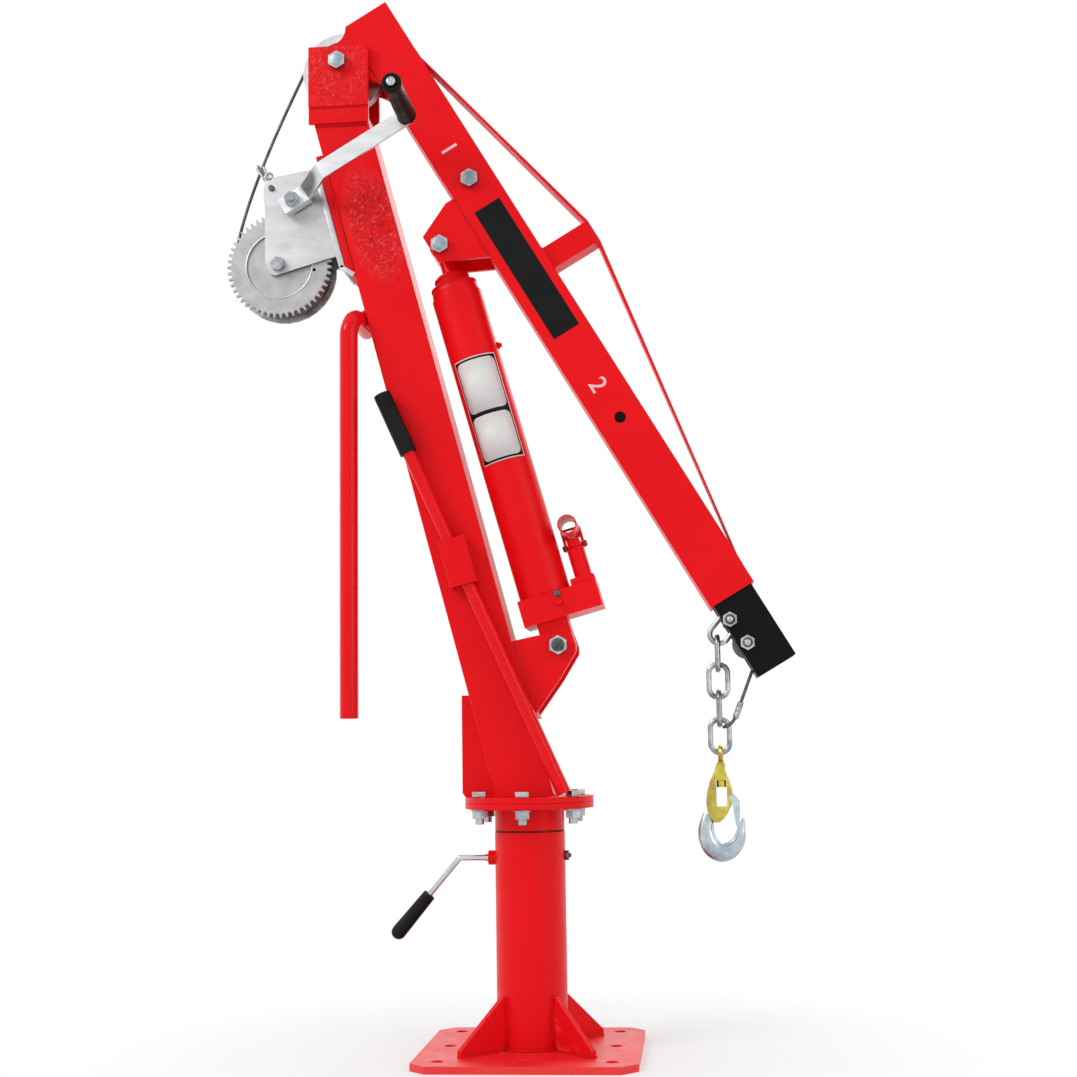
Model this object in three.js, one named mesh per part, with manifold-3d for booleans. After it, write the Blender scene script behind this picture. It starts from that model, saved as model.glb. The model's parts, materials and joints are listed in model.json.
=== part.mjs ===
// Hydraulic swivel crane: a bolted base and post, a leaning mast that swivels on a flange,
// a telescopic boom lifted by a long jack, a hand winch, and a hook on a short chain.
// Millimetres, +Z up, boom towards +X. The origin is the centre of the base plate's underside.

import * as THREE from 'three';
import { mergeVertices } from 'three/addons/utils/BufferGeometryUtils.js';
import Module from 'manifold-3d';

const wasm = await Module();
wasm.setup();

// Shared fits and counts
const gap = 0.3;
const boltPlay = 0.4;
const overrun = 5;
const bite = 1.5;
const roundSides = 32;
const smallSides = 16;
const wheelSides = 24;
const curveSides = 8;
const wireSides = 8;
const linkSteps = 20;
const eyeSteps = 16;
const halfway = 0.5;
const boltSides = 12;

// Base plate
const plateSide = 300;
const plateThick = 10;
const plateCorner = 22;
const plateHoleRadius = 8.5;
const plateHolePitch = 115;

// Post with its gussets and the lock boss
const postRadius = 49;
const postWall = 5;
const postHeight = 291;
const gussetReach = 78;
const gussetHeight = 71;
const gussetThick = 8;
const gussetToe = 8;
const gussetRelief = 11;
const gussetCrown = 4;
const lockBelowTop = 35.6;
const lockBossRadius = 10;
const lockBossReach = 9.5;

// Bush between post and spindle
const bushSleeve = 20;
const bushLip = 2;

// Spindle and flanges
const spindleRadius = 40;
const spindleWall = 5;
const spindleDepth = 150;
const neckRadius = 48.5;
const neckHeight = 30;
const flangeRadius = 90;
const flangeThick = 8;
const flangeBore = 20;
const flangeBoltCircle = 75;
const flangeBoltCount = 6;
const flangeBoltStart = -91.5;

// Small and large screw sizes
const smallShank = 6;
const smallFlats = 19;
const smallHead = 7.5;
const smallNut = 10;
const largeShank = 8;
const largeFlats = 24;
const largeHead = 10;
const largeNut = 13;
const threadTip = 4;
const longTip = 8;
const washerThick = 2.5;
const washerRadius = 12;

// Lock lever
const lockScrewRadius = 5;
const leverRodRadius = 4;
const leverReach = 41;
const leverFall = 50;
const leverRun = 43;
const leverGripRadius = 9;
const leverGripLength = 78;
const leverGripFlare = 1.5;

// Mast
const mastLean = 14.7;
const mastFoot = -2;
const mastSide = 78;
const mastWall = 4;
const mastTop = 1352;
const ribHeight = 142;
const ribThick = 9;
const ribReach = 94;
const ribChamfer = 5;

// Head bracket and boom pivot
const pivotX = -263;
const pivotZ = 1424;
const cheekThick = 6;
const cheekBack = 44;
const cheekFront = 45;
const cheekTop = 25;
const cheekLap = 20;
const doublerThick = 3;
const doublerDrop = 67;
const headWebThick = 6;

// Boom
const boomSlope = 59.6;
const boomSide = 70;
const boomWall = 4;
const boomLength = 1018;
const boomTail = 47.4;
const boomRise = 72.8;
const lockHoleAt = 256.8;
const boomTravel = 417;

// Lugs under the boom
const lugThick = 7;
const tailLugRadius = 26;
const tailLugFront = 60;
const tailLugBack = 33;
const tailLugWaist = 14;
const tailLugCurve = 30;
const tailLugTangent = 30;
const lugHubRadius = 20;
const jackPinAt = 318;
const jackPinDrop = 14.6;
const jackLugBack = 50;
const jackLugFront = 53;
const jackLugFloor = 15;
const jackLugHeel = 25;
const jackLugShoulder = 39;
const jackLugToe = 19;

// Truss on the boom
const trussStart = 38;
const trussEnd = 936;
const trussPostAt = 414.5;
const trussPostSide = 35;
const trussRise = 79;
const trussBarThick = 5;
const trussBarWidth = 32;
const trussPostWall = 3;
const trussFoot = 15;
const trussCapDepth = 7.5;

// Extension
const slidePlay = 0.4;
const extensionWall = 3.5;
const extensionTail = 25;
const extensionReach = 114.7;
const notchPlay = 0.9;
const chainBoltBack = 87.3;
const chainBoltUp = 9.3;
const tipBoltBack = 47.5;
const tipBoltUp = 13;
const mouthBack = 26;
const mouthFront = 39;
const mouthWidth = 28;

// Sheaves and rope
const ropeRadius = 2.4;
const ropeSides = 6;
const ropeSteps = 24;
const ropeEndGap = 0.8;
const sheaveRadius = 62;
const sheaveWidth = 16;
const sheaveHubRadius = 14;
const sheaveGroove = 6.9;
const sheaveWebThick = 6;
const tipPulleyRadius = 21;
const tipPulleyWidth = 20;
const tipPulleyGroove = 4.2;
const tipPulleyHubWall = 2.4;
const tipPulleyWeb = 5;
const ropeBowLow = 18.7;
const ropeBowHigh = 6.3;

// Chain and hook
const wireRadius = 4;
const linkLength = 54.6;
const linkWidth = 34.5;
const firstLinkTilt = 40;
const eyeWireRadius = 3.5;
const eyeRadius = 9;
const eyeShankRadius = 4;
const eyeCollarRadius = 6.6;
const eyeCollarHeight = 9;
const bodyHeight = 82;
const bodyWidth = 37;
const bodyThick = 16;
const bodyBevel = 3;
const windowWidth = 14.4;
const windowHeight = 36;
const windowRise = 22;
const hookHeight = 62;
const hookWidth = 68;
const hookThick = 15;
const hookBevel = 2;
const hookLapShare = 0.139;
const latchLength = 38;
const latchPinRadius = 1.9;
const latchPivotX = 13.5;
const latchPivotUp = 32.5;
const latchSheet = 2;
const ferruleRadius = 4.4;
const ferruleLength = 25;
const ferruleLift = 1.6;
const loopRadius = 7;
const loopShoulderAngle = 19;

// Winch, placed along the mast and back from its centre line
const winchNear = -36;
const winchWidth = 60;
const winchPlate = 3;
const mountThick = 10;
const mountBelow = 42.9;
const mountAbove = 140.1;
const winchHeel = 18.5;
const winchSole = 14.5;
const winchCrown = 130.5;
const drumBack = 143.8;
const drumUp = 837.9;
const gearModule = 2.95;
const gearTeeth = 51;
const pinionTeeth = 12;
const gearThick = 6;
const gearRimWidth = 29;
const gearRecess = 2;
const gearHoleShare = 0.14;
const gearHoleRadius = 2.4;
const gearHoleAngle = -24.4;
const meshAngle = 59.3;
const meshPlay = 0.25;
const toothShare = 0.4;
const flankShare = 0.16;
const dedendumShare = 1.2;
const addendumShare = 0.95;
const frameSideGap = 1;
const drumLength = 39;
const drumFlangeThick = 3;
const drumFlangeRadius = 76;
const windingRadius = 68;
const windingPitch = 5.5;
const windingLoops = 6;
const loopSteps = 24;
const hubRadius = 14;
const barrelWall = 6;
const drumShaft = 6;
const pinionShaft = 8;
const pinionNeck = 6;
const ratchetRadius = 22;
const ratchetDepth = 5;
const ratchetTeeth = 12;
const ratchetRiseShare = 0.12;
const ratchetThick = 6;
const ratchetSet = 6;
const pawlAhead = 19;
const pawlAbove = 115.1;
const pawlThick = 4.5;
const pawlPinRadius = 4;
const pawlHubWall = 2;
const pawlLength = 40;

// Crank
const crankThrow = 204;
const crankAngle = 30.7;
const crankWidth = 25;
const crankThick = 5;
const crankHubTail = 19.5;
const crankStepStart = 21;
const crankStepEnd = 56;
const crankHubStand = 15;
const crankOffset = 37;
const crankGripRadius = 14.4;
const crankGripLength = 120;
const crankPinRadius = 5;
const crankPinHead = 6.5;
const crankPinHeadThick = 3;

// Push handle
const pushRadius = 13;
const pushWall = 3;
const pushBelowMount = 71.5;
const pushFarY = 30;
const pushNearY = -62;
const pushBend = 26;
const pushDrop = 575.5;
const pushSplay = 7.5;

// Jack, measured up from its lower pin
const jackFootX = 47.6;
const jackFootZ = 558.7;
const earHalfWidth = 22;
const pinGapHalf = 28;
const earPlay = 0.7;
const baseBottom = 36.6;
const baseThick = 38;
const baseBack = 38.5;
const baseFront = 75.5;
const baseHalfDepth = 38;
const cylinderRadius = 37;
const cylinderWall = 7;
const cylinderTop = 534.6;
const capHeight = 22;
const capRadius = 19;
const capShoulderShare = 0.6;
const ramRadius = 15;
const ramNeckRadius = 11;
const ramNeckLength = 36;
const ramPlay = 0.4;
const ramFloor = 24;
const pistonHeadLength = 20;
const ramEyeRadius = 17;
const pumpAt = 60;
const pumpRadius = 12.5;
const pumpHeight = 53;
const pumpPistonRadius = 7;
const pumpPistonDepth = 30;
const pumpHeadRadius = 9.5;
const pumpHeadHeight = 12;
const pumpHeadLift = 3;
const socketUp = 158.8;
const socketRadius = 14;
const socketBore = 12;
const stopPinRadius = 1.8;
const socketNear = -44;
const socketFar = 12;
const linkPinUp = 134;
const linkPinY = 18;
const linkCheekGap = 11;
const linkCheekThick = 4;
const linkPinRadius = 3;
const anchorHalf = 10;
const anchorDepth = 10;
const releaseX = 18.6;
const releaseUp = 58;
const releaseRadius = 5;
const releaseReach = 7;
const releaseDepth = 14;

// Bracket on the mast that carries the jack's foot
const bracketThick = 8;
const bracketRoot = 7;
const bracketCrest = 18;
const bracketNose = 24;
const bracketChin = 10;
const bracketDrop = 101;
const bracketWeb = 6;
const bracketKneeShares = [0.05, 0.47];

// Stored pump handle and its clip
const clipSide = 32;
const clipWidth = 38.6;
const clipWall = 3;
const clipLength = 68;
const clipUp = 318;
const handleShift = 2.5;
const handleLean = 23.9;
const handleFootX = 53.6;
const handleRodRadius = 9;
const handleBarRadius = 10;
const handleBarLength = 300;
const handleLength = 554;
const handleGripRadius = 12.5;
const handleGripLength = 94;
const handleGripLap = 30;

// Outlines as shares of the sizes that they follow
const hookBodyShares = [
  [-0.16, 1.0], [0.15, 1.0], [0.16, 0.87], [0.23, 0.78], [0.32, 0.68], [0.4, 0.55],
  [0.41, 0.38], [0.33, 0.28], [0.19, 0.155], [0.06, 0.07], [-0.11, 0.01], [-0.27, 0.0],
  [-0.43, 0.054], [-0.54, 0.18], [-0.59, 0.35], [-0.54, 0.51], [-0.44, 0.68], [-0.24, 0.87],
];
const hookShares = [
  [-0.26, 0.93], [-0.39, 0.82], [-0.44, 0.68], [-0.43, 0.52], [-0.375, 0.33], [-0.25, 0.13],
  [-0.11, 0.02], [0.07, 0.0], [0.25, 0.07], [0.4, 0.21], [0.5, 0.4], [0.54, 0.62],
  [0.535, 0.81], [0.52, 0.95], [0.46, 0.9], [0.42, 0.76], [0.38, 0.59], [0.3, 0.47],
  [0.18, 0.41], [0.06, 0.45], [-0.04, 0.56], [-0.07, 0.71], [-0.05, 0.85], [0.03, 0.96],
];
const latchShares = [
  [-0.11, 0.12], [0.1, 0.16], [0.29, -0.08], [0.26, -0.98], [0.14, -0.98], [0.07, -0.42],
];
const latchBackShares = [[0.19, -0.2], [0.26, -0.2], [0.26, -0.98], [0.19, -0.98]];
const winchSideShares = [
  [1.0, 0.01], [0.087, 0.0], [0.026, 0.035], [0.0, 0.1], [0.007, 0.18], [0.175, 0.695],
  [0.22, 0.89], [0.28, 1.0], [0.37, 1.0], [0.95, 0.954], [1.0, 0.95],
];
const pawlShares = [
  [0.34, -0.41], [0.27, -0.15], [0.2, 0.12], [0.05, 0.21], [-0.3, 1.17], [-0.39, 1.2],
  [-0.19, 0.2], [-0.21, -0.13], [-0.4, -0.37], [-0.28, -0.44], [-0.04, -0.22], [0.23, -0.42],
];

// Worked out from the sizes above
const plateTop = plateThick;
const postBottom = plateTop + gap;
const postTop = postBottom + postHeight;
const lockHeight = postTop - lockBelowTop;
const lipBottom = postTop + gap;
const neckBottom = lipBottom + bushLip + gap;
const spindleFlange = neckBottom + neckHeight;
const spindleTop = spindleFlange + flangeThick;
const mastFlange = spindleTop + gap;
const mastFlangeTop = mastFlange + flangeThick;
const mastStart = mastFlangeTop + gap;
const lean = THREE.MathUtils.degToRad(mastLean);
const slope = THREE.MathUtils.degToRad(boomSlope);
const mastHalf = mastSide / 2;
const boomHalf = boomSide / 2;
const boomFloor = boomRise - boomHalf;
const boomRoof = boomRise + boomHalf;
const boomEnd = boomLength - boomTail;
const lugOuter = boomHalf;
const lugInner = boomHalf - lugThick;
const cheekInner = mastHalf + gap;
const cheekOuter = cheekInner + cheekThick;
const headOuter = cheekOuter + doublerThick;
const largeHole = largeShank + boltPlay;
const smallHole = smallShank + boltPlay;
const extensionSide = boomSide - 2 * boomWall - 2 * slidePlay;
const extensionHalf = extensionSide / 2;
const extensionFloor = boomRise - extensionHalf;
const extensionStart = lockHoleAt - extensionTail;
const extensionEnd = boomEnd + extensionReach;
const chainBoltX = extensionEnd - chainBoltBack;
const chainBoltZ = extensionFloor + chainBoltUp;
const tipBoltX = extensionEnd - tipBoltBack;
const tipBoltZ = extensionFloor + tipBoltUp;
const jackPinZ = -jackPinDrop;
const tipRopeRadius = tipPulleyRadius - tipPulleyGroove + ropeRadius;
const headRopeRadius = sheaveRadius - sheaveGroove + ropeRadius;

// Local frames: the mast leans back, the boom slopes down, the jack runs between its two pins
const mastFrame = new THREE.Group();
mastFrame.position.set(mastFoot, 0, mastFlangeTop);
mastFrame.rotation.y = -lean;
const boomFrame = new THREE.Group();
boomFrame.position.set(pivotX, 0, pivotZ);
boomFrame.rotation.y = slope;
mastFrame.updateMatrixWorld();
boomFrame.updateMatrixWorld();
const jackHead = boomFrame.localToWorld(new THREE.Vector3(jackPinAt, 0, jackPinZ));
const jackFoot = new THREE.Vector3(jackFootX, 0, jackFootZ);
const jackLength = jackHead.distanceTo(jackFoot);
const jackFrame = new THREE.Group();
jackFrame.position.copy(jackFoot);
jackFrame.rotation.y = Math.atan2(jackHead.x - jackFoot.x, jackHead.z - jackFoot.z);
jackFrame.updateMatrixWorld();
const crane = new THREE.Group();
crane.add(mastFrame, boomFrame, jackFrame);

// Solids are joined and cut as closed meshes with shared vertices
function closed(geometry) {
  const bare = geometry.clone();
  bare.deleteAttribute('normal');
  bare.deleteAttribute('uv');
  const merged = mergeVertices(bare);
  const corners = merged.index.array;
  const kept = [];
  for (let i = 0; i < corners.length; i += 3) {
    const [a, b, c] = [corners[i], corners[i + 1], corners[i + 2]];
    if (a !== b && b !== c && c !== a) kept.push(a, b, c);
  }
  const vertProperties = new Float32Array(merged.attributes.position.array);
  return new wasm.Manifold(new wasm.Mesh({ numProp: 3, vertProperties, triVerts: new Uint32Array(kept) }));
}

function opened(manifold) {
  const data = manifold.getMesh();
  const geometry = new THREE.BufferGeometry();
  geometry.setAttribute('position', new THREE.BufferAttribute(new Float32Array(data.vertProperties), 3));
  geometry.setIndex(new THREE.BufferAttribute(new Uint32Array(data.triVerts), 1));
  geometry.computeVertexNormals();
  return geometry;
}

function join(first, ...others) {
  return opened(others.reduce((sum, next) => sum.add(closed(next)), closed(first)));
}

function cut(first, ...tools) {
  return opened(tools.reduce((rest, tool) => rest.subtract(closed(tool)), closed(first)));
}

function common(first, second) {
  return opened(closed(first).intersect(closed(second)));
}

// Basic shapes, each between named limits
function block(x0, x1, y0, y1, z0, z1) {
  const box = new THREE.BoxGeometry(x1 - x0, y1 - y0, z1 - z0);
  return box.translate((x0 + x1) / 2, (y0 + y1) / 2, (z0 + z1) / 2);
}

function aim(geometry, from, to) {
  const start = new THREE.Vector3(...from);
  const end = new THREE.Vector3(...to);
  const direction = end.clone().sub(start).normalize();
  const turn = new THREE.Quaternion().setFromUnitVectors(new THREE.Vector3(0, 1, 0), direction);
  const middle = start.add(end).divideScalar(2);
  return geometry.applyQuaternion(turn).translate(middle.x, middle.y, middle.z);
}

function span(from, to) {
  return new THREE.Vector3(...from).distanceTo(new THREE.Vector3(...to));
}

function rod(radius, from, to, sides = boltSides) {
  return aim(new THREE.CylinderGeometry(radius, radius, span(from, to), sides), from, to);
}

function taper(radiusFrom, radiusTo, from, to, sides = roundSides) {
  return aim(new THREE.CylinderGeometry(radiusTo, radiusFrom, span(from, to), sides), from, to);
}

function pipe(outer, inner, from, to, sides = roundSides) {
  const way = new THREE.Vector3(...to).sub(new THREE.Vector3(...from)).setLength(overrun);
  const early = [from[0] - way.x, from[1] - way.y, from[2] - way.z];
  const late = [to[0] + way.x, to[1] + way.y, to[2] + way.z];
  return cut(rod(outer, from, to, sides), rod(inner, early, late, sides));
}

function hexagon(flats, from, to) {
  return rod(flats / Math.sqrt(3), from, to, 6);
}

// A flat plate standing in the XZ plane, from y0 to y1
function upright(points, y0, y1) {
  const shape = new THREE.Shape(points.map(([x, z]) => new THREE.Vector2(x, z)));
  return standing(shape, y0, y1);
}

function standing(shape, y0, y1, curveSegments = curveSides) {
  const slab = new THREE.ExtrudeGeometry(shape, { depth: y1 - y0, bevelEnabled: false, curveSegments });
  return slab.rotateX(Math.PI / 2).translate(0, y1, 0);
}

function bevelled(shape, thick, bevel) {
  const options = {
    depth: thick - 2 * bevel,
    bevelThickness: bevel,
    bevelSize: bevel,
    bevelOffset: -bevel,
    bevelSegments: 2,
  };
  const slab = new THREE.ExtrudeGeometry(shape, options);
  return slab.rotateX(Math.PI / 2).translate(0, thick / 2 - bevel, 0);
}

function turned(points, sides = roundSides) {
  const profile = points.map(([radius, z]) => new THREE.Vector2(radius, z));
  return new THREE.LatheGeometry([...profile, profile[0].clone()], sides).rotateX(Math.PI / 2);
}

function alongY(geometry, x, z) {
  return geometry.rotateX(-Math.PI / 2).translate(x, 0, z);
}

function squareTube(side, wall, x0, x1, centreZ) {
  const half = side / 2;
  const inner = half - wall;
  const outside = block(x0, x1, -half, half, centreZ - half, centreZ + half);
  return cut(outside, block(x0 - overrun, x1 + overrun, -inner, inner, centreZ - inner, centreZ + inner));
}

// A tube through points; its rings keep their turn against the reference direction
function tube(points, radius, sides, reference) {
  const positions = [];
  const indices = [];
  points.forEach((point, i) => {
    const before = points[Math.max(i - 1, 0)];
    const after = points[Math.min(i + 1, points.length - 1)];
    const along = after.clone().sub(before).normalize();
    const across = new THREE.Vector3().crossVectors(along, reference).normalize();
    const outward = new THREE.Vector3().crossVectors(across, along);
    for (let k = 0; k < sides; k++) {
      const angle = (2 * Math.PI * (k + 0.5)) / sides;
      const corner = point.clone()
        .addScaledVector(across, radius * Math.cos(angle))
        .addScaledVector(outward, radius * Math.sin(angle));
      positions.push(corner.x, corner.y, corner.z);
    }
  });
  for (let i = 0; i + 1 < points.length; i++) {
    for (let k = 0; k < sides; k++) {
      const next = (k + 1) % sides;
      const [a, b, c, d] = [i * sides + k, i * sides + next, (i + 1) * sides + k, (i + 1) * sides + next];
      indices.push(a, c, b, b, c, d);
    }
  }
  const last = (points.length - 1) * sides;
  for (let k = 1; k + 1 < sides; k++) {
    indices.push(0, k, k + 1);
    indices.push(last, last + k + 1, last + k);
  }
  const geometry = new THREE.BufferGeometry();
  geometry.setAttribute('position', new THREE.Float32BufferAttribute(positions, 3));
  geometry.setIndex(indices);
  geometry.computeVertexNormals();
  return geometry;
}

const acrossX = new THREE.Vector3(1, 0, 0);
const acrossY = new THREE.Vector3(0, 1, 0);

// Finishes
function finish(color, roughness, metalness) {
  return new THREE.MeshStandardMaterial({ color, roughness, metalness, flatShading: true });
}

const redPaint = () => finish(0xd4121a, 0.32, 0.1);
const blackPaint = () => finish(0x0d0d0e, 0.35, 0.1);
const zinc = () => finish(0xc6cacd, 0.35, 0.85);
const darkSteel = () => finish(0x77797a, 0.45, 0.85);
const chrome = () => finish(0xdadde0, 0.12, 1.0);
const blackRubber = () => finish(0x141415, 0.55, 0.0);
const yellowZinc = () => finish(0xd9b64a, 0.35, 0.8);
const ropeSteel = () => finish(0x8d8f90, 0.5, 0.8);
const bronze = () => finish(0xa9803f, 0.4, 0.8);

function place(parent, name, geometry, material) {
  const mesh = new THREE.Mesh(geometry, material);
  mesh.name = name;
  parent.add(mesh);
  return mesh;
}

// A through bolt along Y with a head on the near side and a nut on the far side
function crossBolt(x, z, near, far, large) {
  const shank = large ? largeShank : smallShank;
  const flats = large ? largeFlats : smallFlats;
  const head = large ? largeHead : smallHead;
  const nut = large ? largeNut : smallNut;
  const headFace = near - gap;
  const nutFace = far + gap;
  return join(
    hexagon(flats, [x, headFace - head, z], [x, headFace, z]),
    rod(shank, [x, headFace - bite, z], [x, nutFace + nut + threadTip, z]),
    hexagon(flats, [x, nutFace, z], [x, nutFace + nut, z]),
  );
}

function crossHole(radius, x, z, reach) {
  return rod(radius, [x, -reach, z], [x, reach, z]);
}

// Base plate: square with clipped corners and eight holes
function basePlate() {
  const half = plateSide / 2;
  const near = half - plateCorner;
  const shape = new THREE.Shape();
  const corners = [[near, -half], [half, -near], [half, near], [near, half], [-near, half], [-half, near]];
  shape.moveTo(-half, -near);
  shape.lineTo(-near, -half);
  corners.forEach(([x, y]) => shape.lineTo(x, y));
  shape.closePath();
  for (const column of [-1, 0, 1]) {
    for (const row of [-1, 0, 1]) {
      if (column === 0 && row === 0) continue;
      const hole = new THREE.Path();
      hole.absarc(column * plateHolePitch, row * plateHolePitch, plateHoleRadius, 0, 2 * Math.PI, true);
      shape.holes.push(hole);
    }
  }
  const options = { depth: plateThick, bevelEnabled: false, curveSegments: curveSides };
  return new THREE.ExtrudeGeometry(shape, options);
}

function gusset(angle) {
  const inner = postRadius - bite;
  const points = [
    [inner, postBottom + gussetRelief],
    [postRadius, postBottom + gussetRelief],
    [postRadius + gussetRelief, postBottom],
    [postRadius + gussetReach, postBottom],
    [postRadius + gussetReach, postBottom + gussetToe],
    [postRadius + gussetCrown, postBottom + gussetHeight],
    [inner, postBottom + gussetHeight],
  ];
  return upright(points, -gussetThick / 2, gussetThick / 2).rotateZ(angle);
}

function post() {
  const inner = postRadius - postWall;
  const bossEnd = postRadius + lockBossReach;
  const boss = rod(lockBossRadius, [-bossEnd, 0, lockHeight], [bite - postRadius, 0, lockHeight]);
  const gussets = [0, 1, 2, 3].map((corner) => gusset(Math.PI / 4 + (corner * Math.PI) / 2));
  const body = join(rod(postRadius, [0, 0, postBottom], [0, 0, postTop], roundSides), boss, ...gussets);
  const bore = rod(inner, [0, 0, postBottom - overrun], [0, 0, postTop + overrun], roundSides);
  const screwHole = rod(lockScrewRadius + boltPlay, [-bossEnd - overrun, 0, lockHeight], [0, 0, lockHeight]);
  return cut(body, bore, screwHole);
}

function postBush() {
  const outer = postRadius - postWall - gap;
  const inner = spindleRadius + gap;
  const lipRadius = neckRadius;
  const sleeveTop = postTop - bushSleeve;
  return turned([
    [inner, sleeveTop],
    [outer, sleeveTop],
    [outer, lipBottom],
    [lipRadius, lipBottom],
    [lipRadius, lipBottom + bushLip],
    [inner, lipBottom + bushLip],
  ]);
}

function flangeBoltAngles() {
  const first = THREE.MathUtils.degToRad(flangeBoltStart);
  return Array.from({ length: flangeBoltCount }, (_, i) => first + (2 * Math.PI * i) / flangeBoltCount);
}

function flangeHoles(z0, z1) {
  return flangeBoltAngles().map((angle) => {
    const x = flangeBoltCircle * Math.cos(angle);
    const y = flangeBoltCircle * Math.sin(angle);
    return rod(smallHole, [x, y, z0 - overrun], [x, y, z1 + overrun]);
  });
}

function spindle() {
  const inner = spindleRadius - spindleWall;
  const body = turned([
    [inner, spindleDepth],
    [spindleRadius, spindleDepth],
    [spindleRadius, neckBottom],
    [neckRadius, neckBottom],
    [neckRadius, spindleFlange],
    [flangeRadius, spindleFlange],
    [flangeRadius, spindleTop],
    [inner, spindleTop],
  ], roundSides + smallSides);
  return cut(body, ...flangeHoles(spindleFlange, spindleTop));
}

// Back and front faces of the leaning mast, as x at a given height
function mastBack(z) {
  return mastFoot - Math.tan(lean) * (z - mastFlangeTop) - mastHalf / Math.cos(lean);
}

function mastFront(z) {
  return mastFoot - Math.tan(lean) * (z - mastFlangeTop) + mastHalf / Math.cos(lean);
}

function mastFlangeWithRib() {
  const disc = rod(flangeRadius, [0, 0, mastFlange], [0, 0, mastFlangeTop], roundSides + smallSides);
  const ribTop = mastFlangeTop + ribHeight;
  const face = gap / Math.cos(lean);
  const rib = upright([
    [-ribReach + ribChamfer, mastFlangeTop - bite],
    [mastBack(mastFlangeTop - bite) - face, mastFlangeTop - bite],
    [mastBack(ribTop) - face, ribTop],
    [-ribReach, ribTop],
    [-ribReach, mastFlangeTop + ribChamfer],
  ], -ribThick / 2, ribThick / 2);
  const bore = rod(flangeBore, [0, 0, mastFlange - overrun], [0, 0, mastFlangeTop + overrun]);
  return cut(join(disc, rib), bore, ...flangeHoles(mastFlange, mastFlangeTop));
}

function flangeBolt(angle) {
  const x = flangeBoltCircle * Math.cos(angle);
  const y = flangeBoltCircle * Math.sin(angle);
  const headFace = mastFlangeTop + gap;
  const washerFace = spindleFlange - gap;
  const nutFace = washerFace - washerThick;
  return join(
    hexagon(smallFlats, [x, y, headFace], [x, y, headFace + smallHead]),
    rod(smallShank, [x, y, nutFace - smallNut - longTip], [x, y, headFace + bite]),
    rod(washerRadius, [x, y, nutFace], [x, y, washerFace]),
    hexagon(smallFlats, [x, y, nutFace - smallNut], [x, y, nutFace + bite]),
  );
}

// The lock lever: screw through the boss, then a bent rod that ends inside its grip
function leverPoints() {
  const start = -(postRadius + lockBossReach);
  const bend = start - leverReach;
  const length = Math.hypot(leverFall, leverRun);
  const share = (length + leverGripLength) / length;
  return {
    start,
    bend: [bend, 0, lockHeight],
    gripStart: [bend - leverRun, 0, lockHeight - leverFall],
    gripEnd: [bend - leverRun * share, 0, lockHeight - leverFall * share],
  };
}

function lockLever() {
  const { bend, gripStart, gripEnd } = leverPoints();
  const tip = -(spindleRadius + gap);
  const lap = new THREE.Vector3(...gripStart).lerp(new THREE.Vector3(...gripEnd), halfway).toArray();
  return join(
    rod(lockScrewRadius, [bend[0] + leverReach - lockScrewRadius, 0, lockHeight], [tip, 0, lockHeight]),
    rod(leverRodRadius, bend, [tip, 0, lockHeight]),
    new THREE.SphereGeometry(leverRodRadius, smallSides, smallSides / 2).translate(...bend),
    rod(leverRodRadius, bend, lap),
  );
}

function lockGrip() {
  const { bend, gripStart, gripEnd } = leverPoints();
  const end = new THREE.Vector3(...gripEnd);
  const way = end.clone().sub(new THREE.Vector3(...gripStart)).normalize();
  const domeRadius = leverGripRadius + leverGripFlare;
  const domeCentre = end.clone().addScaledVector(way, -domeRadius).toArray();
  const middle = new THREE.Vector3(...gripStart).lerp(end, halfway).addScaledVector(way, gap).toArray();
  const body = join(
    taper(leverGripRadius, domeRadius, gripStart, domeCentre, smallSides),
    new THREE.SphereGeometry(domeRadius, smallSides, smallSides / 2)
      .applyQuaternion(new THREE.Quaternion().setFromUnitVectors(new THREE.Vector3(0, 1, 0), way))
      .translate(...domeCentre),
  );
  return cut(body, rod(leverRodRadius + gap, bend, middle));
}

function mastTube() {
  const far = mastTop - mastFlangeTop + mastSide;
  const inner = mastHalf - mastWall;
  const hollow = cut(
    block(-mastHalf, mastHalf, -mastHalf, mastHalf, -mastSide, far + mastSide),
    block(-inner, inner, -inner, inner, -mastSide - overrun, far + mastSide + overrun),
  );
  const slab = block(pivotX * 2, -pivotX, -mastSide, mastSide, mastStart, mastTop);
  return common(hollow, slab.applyMatrix4(mastFrame.matrixWorld.clone().invert()));
}

function headBracket() {
  const back = pivotX - cheekBack;
  const front = pivotX + cheekFront;
  const top = pivotZ + cheekTop;
  const webBottom = mastTop + gap;
  const cheeks = [-1, 1].flatMap((side) => {
    const [low, high] = [side * cheekInner, side * cheekOuter].sort((a, b) => a - b);
    const [inner, outer] = [side * (cheekOuter - bite), side * headOuter].sort((a, b) => a - b);
    return [
      block(back, front, low, high, mastTop - cheekLap, top),
      block(back, front, inner, outer, pivotZ - doublerDrop, top),
    ];
  });
  const webBack = mastBack(mastTop) + mastWall;
  const web = block(webBack, mastFront(mastTop) - mastWall, -cheekInner - bite, cheekInner + bite,
    webBottom, webBottom + headWebThick);
  return cut(join(web, ...cheeks), crossHole(largeHole, pivotX, pivotZ, headOuter + overrun));
}

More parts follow.
